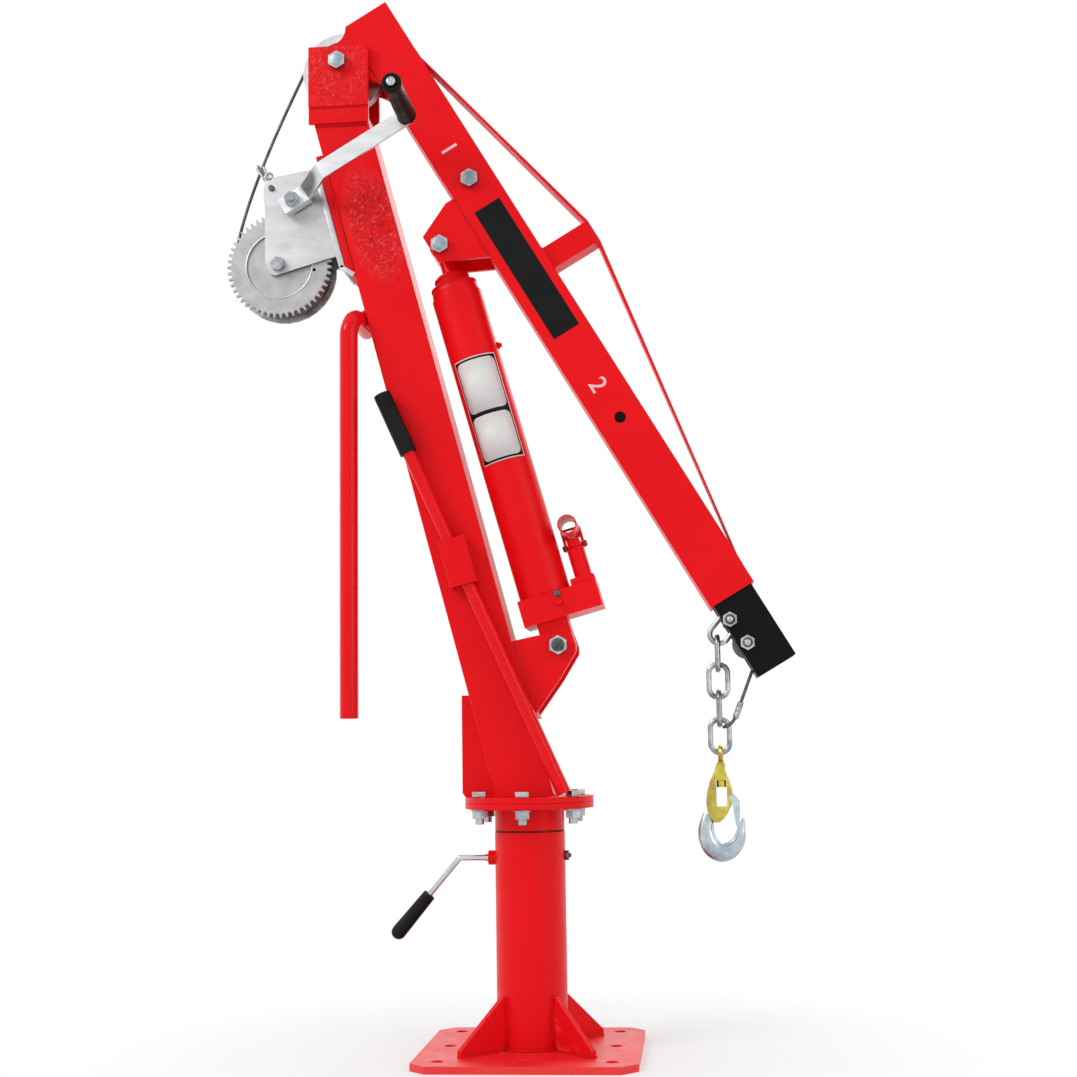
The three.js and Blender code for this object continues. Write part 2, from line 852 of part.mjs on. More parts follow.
function jackBracket() {
  const foot = gap / Math.cos(lean);
  const top = jackFootZ + bracketRoot;
  const bottom = jackFootZ - bracketDrop;
  const [kneeOut, kneeDown] = bracketKneeShares;
  const outline = [
    [mastFront(bottom) + foot, bottom],
    [jackFootX + bracketNose * kneeOut, jackFootZ - bracketDrop * kneeDown],
    [jackFootX + bracketNose, jackFootZ - bracketChin],
    [jackFootX + bracketNose, jackFootZ],
    [jackFootX + bracketCrest, jackFootZ + bracketCrest],
    [jackFootX - bracketCrest, jackFootZ + bracketCrest - bite],
    [mastFront(top) + foot, top],
  ];
  const plates = [-1, 1].map((side) => {
    const [low, high] = [side * pinGapHalf, side * (pinGapHalf + bracketThick)].sort((a, b) => a - b);
    return upright(outline, low, high);
  });
  const webFace = foot + bracketWeb;
  const web = upright([
    [mastFront(bottom) + foot, bottom],
    [mastFront(bottom) + webFace, bottom],
    [mastFront(top) + webFace, top],
    [mastFront(top) + foot, top],
  ], -pinGapHalf - bite, pinGapHalf + bite);
  const hole = crossHole(largeHole, jackFootX, jackFootZ, pinGapHalf + bracketThick + overrun);
  return cut(join(web, ...plates), hole);
}

// The push handle: a pipe welded across the mast's back, bent down on the near side
function pushHandle() {
  const pushUp = mountBottom - pushBelowMount;
  const seat = mastFrame.localToWorld(new THREE.Vector3(-mastHalf - gap - pushRadius, 0, pushUp));
  const corner = [seat.x, pushNearY, seat.z];
  const turnSteps = 6;
  const points = [new THREE.Vector3(seat.x, pushFarY, seat.z)];
  for (let i = 0; i <= turnSteps; i++) {
    const angle = (Math.PI / 2) * (i / turnSteps);
    const y = corner[1] + pushBend * (1 - Math.sin(angle));
    const z = corner[2] - pushBend * (1 - Math.cos(angle));
    points.push(new THREE.Vector3(corner[0] - (pushSplay * i) / turnSteps, y, z));
  }
  const foot = new THREE.Vector3(corner[0] - pushSplay, corner[1], corner[2] - pushDrop);
  const nearFoot = foot.clone().setZ(foot.z + pushBend);
  points.push(nearFoot, foot);
  const before = points[0].clone().setY(pushFarY + overrun);
  const after = foot.clone().setZ(foot.z - overrun);
  const outside = tube(points, pushRadius, smallSides, acrossX);
  return cut(outside, tube([before, ...points, after], pushRadius - pushWall, smallSides, acrossX));
}

function handleClip() {
  const wide = clipWidth / 2;
  const deep = clipSide / 2;
  const [innerWide, innerDeep] = [wide - clipWall, deep - clipWall];
  return cut(
    block(-wide, wide, -deep, deep, -clipLength / 2, clipLength / 2),
    block(-innerWide, innerWide, -innerDeep, innerDeep, -clipLength, clipLength),
  );
}

function pumpHandle() {
  return join(
    rod(handleBarRadius, [0, 0, 0], [0, 0, handleBarLength]),
    rod(handleRodRadius, [0, 0, handleBarLength - bite], [0, 0, handleLength]),
  );
}

function pumpGrip() {
  const start = handleLength - handleGripLap;
  const grip = rod(handleGripRadius, [0, 0, start], [0, 0, start + handleGripLength]);
  return cut(grip, rod(handleRodRadius + gap, [0, 0, start - overrun], [0, 0, handleLength + gap]));
}

// Toothed wheel in the XZ plane, with straight flanked teeth
function toothOutline(teeth, root, tip, share, phase) {
  const shape = new THREE.Shape();
  const pitch = (2 * Math.PI) / teeth;
  const rootHalf = (pitch * (share + flankShare)) / 2;
  const tipHalf = (pitch * (share - flankShare)) / 2;
  for (let i = 0; i < teeth; i++) {
    const centre = phase + i * pitch;
    const corners = [[root, -rootHalf], [tip, -tipHalf], [tip, tipHalf], [root, rootHalf]];
    corners.forEach(([radius, turn], k) => {
      const [x, z] = [radius * Math.cos(centre + turn), radius * Math.sin(centre + turn)];
      if (i === 0 && k === 0) shape.moveTo(x, z);
      else shape.lineTo(x, z);
    });
  }
  shape.closePath();
  return shape;
}

function ratchetOutline(phase) {
  const shape = new THREE.Shape();
  const pitch = (2 * Math.PI) / ratchetTeeth;
  const rootRadius = ratchetRadius - ratchetDepth;
  for (let i = 0; i < ratchetTeeth; i++) {
    const low = phase + i * pitch;
    const [a, b] = [low, low + pitch * ratchetRiseShare];
    const valley = [rootRadius * Math.cos(a), rootRadius * Math.sin(a)];
    if (i === 0) shape.moveTo(...valley);
    else shape.lineTo(...valley);
    shape.lineTo(ratchetRadius * Math.cos(b), ratchetRadius * Math.sin(b));
  }
  shape.closePath();
  return shape;
}

// Winch places in the mast's frame, with Y across it
const gearPitchRadius = (gearModule * gearTeeth) / 2;
const pinionPitchRadius = (gearModule * pinionTeeth) / 2;
const meshDistance = gearPitchRadius + pinionPitchRadius + meshPlay;
const mesh = THREE.MathUtils.degToRad(meshAngle);
const drumX = -drumBack;
const pinionX = drumX + meshDistance * Math.cos(mesh);
const pinionUp = drumUp + meshDistance * Math.sin(mesh);
const mountBottom = drumUp - mountBelow;
const mountTop = drumUp + mountAbove;
const pawlBack = drumBack - pawlAhead;
const pawlUp = drumUp + pawlAbove;
const winchFar = winchNear + winchWidth;
const gearNear = winchNear + winchPlate + frameSideGap;
const gearFar = gearNear + gearThick;
const barrelNear = gearFar + gap;
const barrelFar = barrelNear + drumLength;
const mountBack = -mastHalf - gap - mountThick;
const frameWebBack = mountBack - gap - winchPlate;
const ratchetNear = gearFar + ratchetSet;

// The rope leaves the drum and meets the sheave on each side of their common tangent
const headCentre = new THREE.Vector3(pivotX, 0, pivotZ);
const toHead = headCentre.clone().sub(mastFrame.localToWorld(new THREE.Vector3(drumX, 0, drumUp)));
const touchSpread = Math.acos((windingRadius - headRopeRadius) / toHead.length());
const touchAngle = Math.atan2(toHead.z, toHead.x) + touchSpread;
const leadAngle = touchAngle + THREE.MathUtils.degToRad(ropeBowLow);
const seatAngle = touchAngle - THREE.MathUtils.degToRad(ropeBowHigh);

function winchMount() {
  return block(mountBack, -mastHalf - gap, -mastHalf, mastHalf, mountBottom, mountTop);
}

function winchFrame() {
  const front = frameWebBack + winchPlate;
  const back = drumX - winchHeel;
  const bottom = drumUp - winchSole;
  const tall = winchSole + winchCrown;
  const outline = winchSideShares.map(([x, z]) => [back + x * (front - back), bottom + z * tall]);
  const plates = [[winchNear, winchNear + winchPlate], [winchFar - winchPlate, winchFar]];
  const web = block(frameWebBack, front, winchNear, winchFar, mountBottom, outline.at(-1)[1]);
  const holes = [
    crossHole(drumShaft + boltPlay, drumX, drumUp, winchWidth),
    crossHole(pinionNeck + boltPlay, pinionX, pinionUp, winchWidth),
    crossHole(pawlPinRadius + boltPlay, -pawlBack, pawlUp, winchWidth),
  ];
  return cut(join(web, ...plates.map(([y0, y1]) => upright(outline, y0, y1))), ...holes);
}

function drumBolt() {
  return crossBolt(drumX, drumUp, winchNear, winchFar, false);
}

function winchDrum() {
  const barrel = windingRadius * Math.cos(Math.PI / loopSteps) - ropeRadius - gap;
  const bore = drumShaft + boltPlay;
  const profile = [
    [bore, barrelNear],
    [hubRadius, barrelNear],
    [hubRadius, barrelFar],
    [barrel - barrelWall, barrelFar],
    [barrel - barrelWall, barrelNear],
    [barrel, barrelNear],
    [barrel, barrelFar],
    [drumFlangeRadius, barrelFar],
    [drumFlangeRadius, barrelFar + drumFlangeThick],
    [bore, barrelFar + drumFlangeThick],
  ];
  return alongY(turned(profile, roundSides), drumX, drumUp);
}

function drumGear() {
  const root = gearPitchRadius - gearModule * dedendumShare;
  const tip = gearPitchRadius + gearModule * addendumShare;
  const shape = toothOutline(gearTeeth, root, tip, toothShare, mesh);
  const wheel = standing(shape, gearNear, gearFar).translate(drumX, 0, drumUp);
  const recessRadius = tip - gearRimWidth;
  const recessStart = [drumX, gearNear - overrun, drumUp];
  const recess = rod(recessRadius, recessStart, [drumX, gearNear + gearRecess, drumUp], roundSides);
  const holeAt = recessRadius + gearRimWidth * gearHoleShare;
  const holeAngle = THREE.MathUtils.degToRad(gearHoleAngle);
  const holeX = drumX + holeAt * Math.cos(holeAngle);
  const holeUp = drumUp + holeAt * Math.sin(holeAngle);
  return cut(
    wheel,
    recess,
    crossHole(drumShaft + boltPlay, drumX, drumUp, winchWidth),
    crossHole(gearHoleRadius, holeX, holeUp, winchWidth),
  );
}

// The way to the head along a rope that touches a round at an angle
function ropeLead(angle) {
  return new THREE.Vector3(Math.sin(angle), 0, -Math.cos(angle));
}

// One unbroken rope wound on the barrel; both ends run straight for a rope's width
function windingRoute() {
  const steps = windingLoops * loopSteps;
  const start = barrelNear + ropeRadius + gap;
  const points = [];
  for (let i = 0; i <= steps; i++) {
    const angle = leadAngle - lean + (2 * Math.PI * i) / loopSteps;
    points.push(new THREE.Vector3(
      drumX + windingRadius * Math.cos(angle),
      start + (windingPitch * i) / loopSteps,
      drumUp + windingRadius * Math.sin(angle),
    ));
  }
  const lead = ropeLead(leadAngle - lean).multiplyScalar(2 * ropeRadius);
  return [points[0].clone().add(lead), ...points, points.at(-1).clone().sub(lead)];
}

function leastSelfGap(points, radius) {
  let least = Infinity;
  for (let i = 0; i < points.length; i++) {
    for (let j = i + loopSteps / 2; j < points.length; j++) {
      least = Math.min(least, points[i].distanceTo(points[j]) - 2 * radius);
    }
  }
  return least;
}

function pinion() {
  const root = pinionPitchRadius - gearModule * dedendumShare;
  const tip = pinionPitchRadius + gearModule * addendumShare;
  const phase = mesh + Math.PI + Math.PI / pinionTeeth;
  const wheel = standing(toothOutline(pinionTeeth, root, tip, toothShare, phase), gearNear, gearFar);
  const ratchet = standing(ratchetOutline(0), ratchetNear, ratchetNear + ratchetThick);
  const inFace = winchNear + winchPlate + gap;
  const farFace = winchFar - winchPlate - gap;
  const hubFace = winchNear - crankHubStand;
  const end = hubFace - crankThick - gap;
  return join(
    wheel,
    ratchet,
    rod(pinionShaft, [0, inFace, 0], [0, farFace, 0]),
    rod(pinionNeck, [0, end - smallNut - threadTip, 0], [0, winchFar + threadTip, 0]),
    hexagon(smallFlats, [0, end - smallNut, 0], [0, end, 0]),
    rod(pinionShaft, [0, hubFace + gap, 0], [0, winchNear - gap, 0]),
  );
}

// The pawl rocks on its pin above the ratchet wheel and sticks out at the back
function winchPawl() {
  const inner = winchNear + winchPlate + gap;
  const low = ratchetNear + (ratchetThick - pawlThick) / 2;
  const outline = pawlShares.map(([x, z]) => [x * pawlLength, z * pawlLength]);
  const pin = rod(pawlPinRadius, [0, winchNear - threadTip, 0], [0, winchFar + threadTip, 0]);
  const sleeve = rod(pawlPinRadius + pawlHubWall, [0, inner, 0], [0, winchFar - winchPlate - gap, 0]);
  return join(upright(outline, low, low + pawlThick), pin, sleeve);
}

// Crank: a strip that steps out towards the near side, with a pin for its grip
function crankArm() {
  const hubFace = winchNear - crankHubStand;
  const armFace = hubFace - crankOffset;
  const half = crankWidth / 2;
  const pinEnd = armFace - crankThick - gap - crankGripLength - gap - crankPinHeadThick;
  const bend = Math.atan2(crankOffset, crankStepEnd - crankStepStart);
  const turnIn = crankThick * Math.tan(bend / 2);
  const side = new THREE.Shape([
    [-crankHubTail, hubFace],
    [-crankHubTail, hubFace - crankThick],
    [crankStepStart, hubFace - crankThick],
    [crankStepEnd, armFace - crankThick],
    [crankThrow, armFace - crankThick],
    [crankThrow, armFace],
    [crankStepEnd + turnIn, armFace],
    [crankStepStart + turnIn, hubFace],
  ].map(([x, y]) => new THREE.Vector2(x, y)));
  const strip = new THREE.ExtrudeGeometry(side, { depth: crankWidth, bevelEnabled: false });
  return cut(
    join(
      strip.translate(0, 0, -half),
      rod(half, [crankThrow, armFace - crankThick, 0], [crankThrow, armFace, 0]),
      rod(crankPinRadius, [crankThrow, pinEnd + bite, 0], [crankThrow, armFace - bite, 0]),
      rod(crankPinHead, [crankThrow, pinEnd, 0], [crankThrow, pinEnd + crankPinHeadThick, 0]),
    ),
    crossHole(pinionNeck + gap, 0, 0, winchWidth + crankOffset),
  );
}

function crankGrip() {
  const near = winchNear - crankHubStand - crankOffset - crankThick - gap;
  const far = near - crankGripLength;
  return pipe(crankGripRadius, crankPinRadius + gap, [crankThrow, far, 0], [crankThrow, near, 0]);
}

// Head sheave on the pivot bolt, between the boom's tail lugs
function grooved(radius, width, groove, bore, hub, hubHalf, web) {
  const half = width / 2;
  const seat = groove / 2;
  const rim = radius - groove - web;
  const halfWeb = web / 2;
  return turned([
    [bore, -hubHalf],
    [hub, -hubHalf],
    [hub, -halfWeb],
    [rim, -halfWeb],
    [rim, -half],
    [radius, -half],
    [radius - groove, -seat],
    [radius - groove, seat],
    [radius, half],
    [rim, half],
    [rim, halfWeb],
    [hub, halfWeb],
    [hub, hubHalf],
    [bore, hubHalf],
  ], wheelSides);
}

function headSheave() {
  const hubHalf = lugInner - gap;
  const rim = [sheaveRadius, sheaveWidth, sheaveGroove];
  return grooved(...rim, largeHole, sheaveHubRadius, hubHalf, sheaveWebThick);
}

// Boom tube with the lugs that are welded under it
function boomTube() {
  const body = squareTube(boomSide, boomWall, -boomTail, boomEnd, boomRise);
  const tangent = THREE.MathUtils.degToRad(tailLugTangent);
  const tail = new THREE.Shape();
  tail.moveTo(-boomTail, boomFloor + bite);
  tail.lineTo(-boomTail, boomFloor);
  tail.quadraticCurveTo(-tailLugBack, tailLugCurve, -tailLugBack, tailLugWaist);
  tail.lineTo(-tailLugBack, 0);
  tail.absarc(0, 0, tailLugRadius, Math.PI + tangent, 2 * Math.PI + tangent, false);
  tail.lineTo(tailLugFront, boomFloor + bite);
  const pinZ = jackPinZ;
  const floor = pinZ - jackLugFloor;
  const jack = [
    [jackPinAt - jackLugBack, boomFloor + bite],
    [jackPinAt - jackLugBack, pinZ + jackLugShoulder],
    [jackPinAt - jackLugHeel, floor],
    [jackPinAt + jackLugToe, floor],
    [jackPinAt + jackLugFront, boomFloor - bite],
    [jackPinAt + jackLugFront, boomFloor + bite],
  ];
  const lugs = [[-lugOuter, -lugInner], [lugInner, lugOuter]].flatMap(([y0, y1]) => [
    standing(tail, y0, y1),
    upright(jack, y0, y1),
  ]);
  const hubEnd = cheekInner - gap;
  const hubStart = lugInner + bite;
  const hubs = [-1, 1].map((side) => rod(lugHubRadius, [0, side * hubStart, 0], [0, side * hubEnd, 0]));
  const reach = cheekInner + overrun;
  const sheaveSlot = sheaveWidth / 2 + overrun;
  return cut(
    join(body, ...lugs, ...hubs),
    crossHole(largeHole, 0, 0, reach),
    crossHole(largeHole, jackPinAt, pinZ, reach),
    crossHole(largeHole, lockHoleAt, boomRise, reach),
    crossHole(largeHole, lockHoleAt + boomTravel, boomRise, reach),
    block(-boomTail - overrun, sheaveRadius, -sheaveSlot, sheaveSlot,
      boomFloor - overrun, boomFloor + boomWall + bite),
  );
}

// The upper jack pin is two stubs, one in each lug, so the ram's eye can leave the gap
function jackStub(side) {
  const seat = lugOuter + gap;
  const size = side < 0 ? largeHead : largeNut;
  const at = (y) => [jackPinAt, side * y, jackPinZ];
  return join(
    hexagon(largeFlats, at(seat), at(seat + size)),
    rod(largeShank, at(lugInner + gap), at(seat + bite)),
  );
}

function truss() {
  const roof = boomRoof + gap;
  const crest = boomRoof + trussRise;
  const half = trussPostSide / 2;
  const back = trussPostAt - half;
  const front = trussPostAt + half;
  const thick = trussBarThick;
  const slantBack = thick / Math.cos(Math.atan2(trussRise, back - trussStart));
  const slantFront = thick / Math.cos(Math.atan2(trussRise, trussEnd - front));
  const foot = trussFoot;
  const bar = upright([
    [trussStart, roof],
    [trussStart + foot, roof],
    [back, crest - slantBack],
    [front, crest - slantFront],
    [trussEnd - foot, roof],
    [trussEnd, roof],
    [front, crest],
    [back, crest],
  ], -trussBarWidth / 2, trussBarWidth / 2);
  const inner = half - trussPostWall;
  const postTube = cut(
    block(back, front, -half, half, roof, crest - thick / 2),
    block(trussPostAt - inner, trussPostAt + inner, -inner, inner, roof - overrun, crest - trussCapDepth),
  );
  return join(bar, postTube);
}

function boomExtension() {
  const body = squareTube(extensionSide, extensionWall, extensionStart, extensionEnd, boomRise);
  const notch = largeShank + notchPlay;
  const reach = boomSide;
  const mouthHalf = mouthWidth / 2;
  return cut(
    body,
    block(extensionStart - overrun, lockHoleAt, -reach, reach, boomRise - notch, boomRise + notch),
    crossHole(notch, lockHoleAt, boomRise, reach),
    crossHole(smallHole, chainBoltX, chainBoltZ, reach),
    crossHole(smallHole, tipBoltX, tipBoltZ, reach),
    block(chainBoltX - mouthBack, tipBoltX + mouthFront, -mouthHalf, mouthHalf,
      extensionFloor - overrun, extensionFloor + extensionWall + bite),
  );
}

function tipPulley() {
  const hubHalf = extensionHalf - extensionWall - gap;
  const bore = smallHole;
  const hub = bore + tipPulleyHubWall;
  return grooved(tipPulleyRadius, tipPulleyWidth, tipPulleyGroove, bore, hub, hubHalf, tipPulleyWeb);
}

// Chain link: a ring drawn out to its length, standing in the XZ plane
function chainLink() {
  const bend = linkWidth / 2 - wireRadius;
  const straight = linkLength / 2 - wireRadius - bend;
  const ring = new THREE.TorusGeometry(bend, wireRadius, wireSides, linkSteps).rotateZ(Math.PI / linkSteps);
  const position = ring.attributes.position;
  for (let i = 0; i < position.count; i++) {
    const y = position.getY(i);
    position.setY(i, y + Math.sign(y) * straight);
  }
  return ring.rotateX(Math.PI / 2);
}

const linkInner = linkLength - 4 * wireRadius;
const linkPitch = linkInner - gap;
const boltToWire = linkInner - (smallShank + gap) - (wireRadius + gap);
const linkTilt = THREE.MathUtils.degToRad(firstLinkTilt);
const chainBolt = boomFrame.localToWorld(new THREE.Vector3(chainBoltX, 0, chainBoltZ));
const tiltWay = new THREE.Vector3(-Math.sin(linkTilt), 0, -Math.cos(linkTilt));
const secondWire = chainBolt.clone().addScaledVector(tiltWay, boltToWire);
const firstLinkCentre = chainBolt.clone().addScaledVector(tiltWay, linkInner / 2 - smallShank - gap);
const secondLinkZ = secondWire.z - (linkLength / 2 - wireRadius);
const chainX = secondWire.x;
const fifthLinkZ = secondLinkZ - 3 * linkPitch;
const eyeZ = fifthLinkZ - linkLength / 2 + 2 * wireRadius + gap - (eyeRadius - eyeWireRadius);
const bodyTop = eyeZ - eyeRadius - eyeWireRadius - gap;
const bodyBottom = bodyTop - bodyHeight;
const hookBottom = bodyBottom - hookHeight * (1 - hookLapShare);

// The swivel eye's ring goes round the fifth link's lower bend; its shank turns in the hook body
function swivelEye() {
  const ring = new THREE.TorusGeometry(eyeRadius, eyeWireRadius, wireSides, eyeSteps)
    .rotateY(Math.PI / 2)
    .rotateX(Math.PI / 2);
  const collarTop = bodyBottom + windowRise + windowHeight - gap;
  const collar = rod(eyeCollarRadius, [0, 0, collarTop - eyeCollarHeight], [0, 0, collarTop]);
  const shank = rod(eyeShankRadius, [0, 0, collarTop - eyeCollarHeight], [0, 0, eyeZ - eyeRadius]);
  return join(ring.translate(0, 0, eyeZ), shank, collar);
}

function sharesToShape(shares, width, height, low) {
  const points = shares.map(([x, z]) => new THREE.Vector2(x * width, low + z * height));
  return new THREE.Shape(points);
}

function hookBody() {
  const shape = sharesToShape(hookBodyShares, bodyWidth, bodyHeight, bodyBottom);
  const windowHalf = windowWidth / 2;
  const windowLow = bodyBottom + windowRise;
  const windowHigh = windowLow + windowHeight;
  const pivotUp = bodyBottom + latchPivotUp;
  const body = bevelled(shape, bodyThick, bodyBevel);
  return cut(
    body,
    block(-windowHalf, windowHalf, -bodyThick, bodyThick, windowLow, windowHigh),
    rod(eyeShankRadius + gap, [0, 0, windowHigh - bite], [0, 0, bodyTop + overrun]),
    crossHole(latchPinRadius + gap, latchPivotX, pivotUp, bodyThick),
  );
}

function craneHook() {
  const shape = sharesToShape(hookShares, hookWidth, hookHeight, hookBottom);
  const hook = bevelled(shape, hookThick, hookBevel);
  const seat = sharesToShape(hookBodyShares, bodyWidth, bodyHeight, bodyBottom);
  const room = standing(seat, -bodyThick, bodyThick);
  const centre = new THREE.Vector3(0, 0, bodyBottom + bodyHeight / 2);
  const grow = (size) => (size + 2 * gap) / size;
  room.translate(-centre.x, 0, -centre.z);
  room.scale(grow(bodyWidth), 1, grow(bodyHeight));
  room.translate(centre.x, 0, centre.z);
  return cut(hook, room);
}

function hookLatch() {
  const pivotUp = bodyBottom + latchPivotUp;
  const inner = bodyThick / 2 + gap;
  const outer = inner + latchSheet;
  const toPlace = ([x, z]) => [latchPivotX + x * latchLength, pivotUp + z * latchLength];
  return join(
    upright(latchBackShares.map(toPlace), -outer, outer),
    upright(latchShares.map(toPlace), -outer, -inner),
    upright(latchShares.map(toPlace), inner, outer),
    rod(latchPinRadius, [latchPivotX, -outer, pivotUp], [latchPivotX, outer, pivotUp]),
  );
}

// Rope: from the drum over the head sheave, along the boom, over the tip pulley, to the chain

function ropeRun() {
  const lead = ropeLead(leadAngle);
  const start = mastFrame.localToWorld(windingRoute()[0]).addScaledVector(lead, ropeEndGap);
  const arcEnd = Math.PI / 2 - slope;
  const arc = sheaveArc(seatAngle, arcEnd);
  const seat = ropeLead(seatAngle);
  const toSeat = arc[0].clone().sub(start);
  const span = (toSeat.x * seat.z - toSeat.z * seat.x) / (lead.x * seat.z - lead.z * seat.x);
  const control = start.clone().addScaledVector(lead, span);
  control.y = start.y / 2;
  const climb = new THREE.QuadraticBezierCurve3(start, control, arc[0]).getPoints(ropeSteps / 2);
  return tube([...climb, ...arc.slice(1)], ropeRadius, ropeSides, acrossY);
}

function sheaveArc(from, to) {
  const points = [];
  for (let i = 0; i <= ropeSteps / 2; i++) {
    const angle = from + ((to - from) * i * 2) / ropeSteps;
    const x = headCentre.x + headRopeRadius * Math.cos(angle);
    points.push(new THREE.Vector3(x, 0, headCentre.z + headRopeRadius * Math.sin(angle)));
  }
  return points;
}

const tipCentre = new THREE.Vector3(tipBoltX, 0, tipBoltZ);
const shoulder = THREE.MathUtils.degToRad(loopShoulderAngle);
const linkBend = linkWidth / 2 - wireRadius;
const loopOutward = new THREE.Vector3(Math.cos(shoulder), 0, Math.sin(shoulder));
const bendCentre = new THREE.Vector3(chainX, 0, fifthLinkZ + linkLength / 2 - wireRadius - linkBend);
const loopCentre = bendCentre.clone().addScaledVector(loopOutward, linkBend);
const loopEdge = loopCentre.clone().addScaledVector(loopOutward, loopRadius);
const tipWorld = boomFrame.localToWorld(tipCentre.clone());

// Where the rope leaves the tip pulley on its way to the loop on the chain
function tipTangent() {
  const toLoop = loopEdge.clone().sub(tipWorld);
  return Math.atan2(toLoop.z, toLoop.x) + Math.acos(tipRopeRadius / toLoop.length());
}

function ropeBoom() {
  const startX = ropeRadius + gap;
  const localTangent = tipTangent() + slope;
  const arcSteps = 8;
  const points = [new THREE.Vector3(startX, 0, headRopeRadius)];
  const first = Math.PI / 2;
  const end = localTangent > first ? localTangent - 2 * Math.PI : localTangent;
  for (let i = 0; i <= arcSteps; i++) {
    const angle = first + ((end - first) * i) / arcSteps;
    points.push(new THREE.Vector3(
      tipCentre.x + tipRopeRadius * Math.cos(angle),
      0,
      tipCentre.z + tipRopeRadius * Math.sin(angle),
    ));
  }
  return tube(points, ropeRadius, ropeSides, acrossY);
}

function ropeTail() {
  const angle = tipTangent();
  const leave = new THREE.Vector3(
    tipWorld.x + tipRopeRadius * Math.cos(angle),
    0,
    tipWorld.z + tipRopeRadius * Math.sin(angle),
  );
  const way = loopEdge.clone().sub(leave).normalize();
  const start = leave.clone().addScaledVector(way, gap);
  const ferruleFoot = loopEdge.clone().addScaledVector(way, -ferruleLift);
  const ferruleTop = ferruleFoot.clone().addScaledVector(way, -ferruleLength);
  const tangent = new THREE.Vector3(-loopOutward.z, 0, loopOutward.x);
  const turn = new THREE.Quaternion().setFromUnitVectors(new THREE.Vector3(0, 0, 1), tangent);
  const loop = new THREE.TorusGeometry(loopRadius, ropeRadius, ropeSides, smallSides).applyQuaternion(turn);
  return join(
    rod(ropeRadius, start.toArray(), ferruleTop.clone().addScaledVector(way, bite).toArray(), ropeSides),
    rod(ferruleRadius, ferruleTop.toArray(), ferruleFoot.toArray()),
    rod(ropeRadius, ferruleFoot.clone().addScaledVector(way, -bite).toArray(), loopEdge.toArray(), ropeSides),
    loop.translate(loopCentre.x, 0, loopCentre.z),
  );
}

// Jack, in its own frame: Z runs from the lower pin to the upper one
function jackBase() {
  const top = baseBottom + baseThick;
  const earHalf = pinGapHalf - earPlay;
  const pumpTop = top + pumpHeight;
  const anchorTop = linkPinUp + anchorHalf / 2;
  const anchorNear = linkPinY - anchorDepth / 2;
  const anchorFar = linkPinY + anchorDepth / 2;
  const body = join(
    block(-baseBack, baseFront, -baseHalfDepth, baseHalfDepth, baseBottom, top),
    block(-earHalfWidth, earHalfWidth, -earHalf, earHalf, 0, baseBottom + bite),
    rod(earHalfWidth, [0, -earHalf, 0], [0, earHalf, 0], roundSides),
    rod(pumpRadius, [pumpAt, 0, top - bite], [pumpAt, 0, pumpTop]),
    block(pumpAt - anchorHalf, pumpAt + anchorHalf, anchorNear, anchorFar, top - bite, anchorTop),
  );
  return cut(
    body,
    crossHole(largeHole, 0, 0, baseHalfDepth + overrun),
    rod(pumpPistonRadius + gap, [pumpAt, 0, pumpTop - pumpPistonDepth], [pumpAt, 0, pumpTop + overrun]),
    rod(linkPinRadius + gap, [pumpAt - baseFront, linkPinY, linkPinUp],
      [pumpAt + baseFront, linkPinY, linkPinUp]),
    rod(releaseRadius + gap, [releaseX, -baseHalfDepth - overrun, releaseUp],
      [releaseX, releaseDepth - baseHalfDepth, releaseUp]),
  );
}

function jackCylinder() {
  const bottom = baseBottom + baseThick + gap;
  const inner = cylinderRadius - cylinderWall;
  const ramBore = ramRadius + ramPlay;
  const capTop = cylinderTop + capHeight;
  const chamfer = (cylinderRadius + capRadius) / 2;
  return turned([
    [ramBore, capTop],
    [ramBore, cylinderTop],
    [inner, cylinderTop],
    [inner, bottom],
    [cylinderRadius, bottom],
    [cylinderRadius, cylinderTop],
    [chamfer, cylinderTop + capHeight * capShoulderShare],
    [capRadius, capTop],
  ]);
}

function jackRam() {
  const bottom = baseBottom + baseThick + ramFloor;
  const neckBottomUp = jackLength - ramNeckLength;
  const inner = cylinderRadius - cylinderWall - ramPlay;
  const eyeHalf = pinGapHalf - earPlay;
  const body = join(
    rod(inner, [0, 0, bottom], [0, 0, bottom + pistonHeadLength], roundSides),
    rod(ramRadius, [0, 0, bottom], [0, 0, neckBottomUp], roundSides),
    rod(ramNeckRadius, [0, 0, neckBottomUp - bite], [0, 0, jackLength]),
    rod(ramEyeRadius, [0, -eyeHalf, jackLength], [0, eyeHalf, jackLength]),
  );
  return cut(body, crossHole(largeHole, 0, jackLength, eyeHalf + overrun));
}

function pumpPiston() {
  const pumpTop = baseBottom + baseThick + pumpHeight;
  const headBottom = pumpTop + pumpHeadLift;
  return join(
    rod(pumpPistonRadius, [pumpAt, 0, pumpTop - pumpPistonDepth + gap], [pumpAt, 0, headBottom + bite]),
    rod(pumpHeadRadius, [pumpAt, 0, headBottom], [pumpAt, 0, headBottom + pumpHeadHeight]),
  );
}

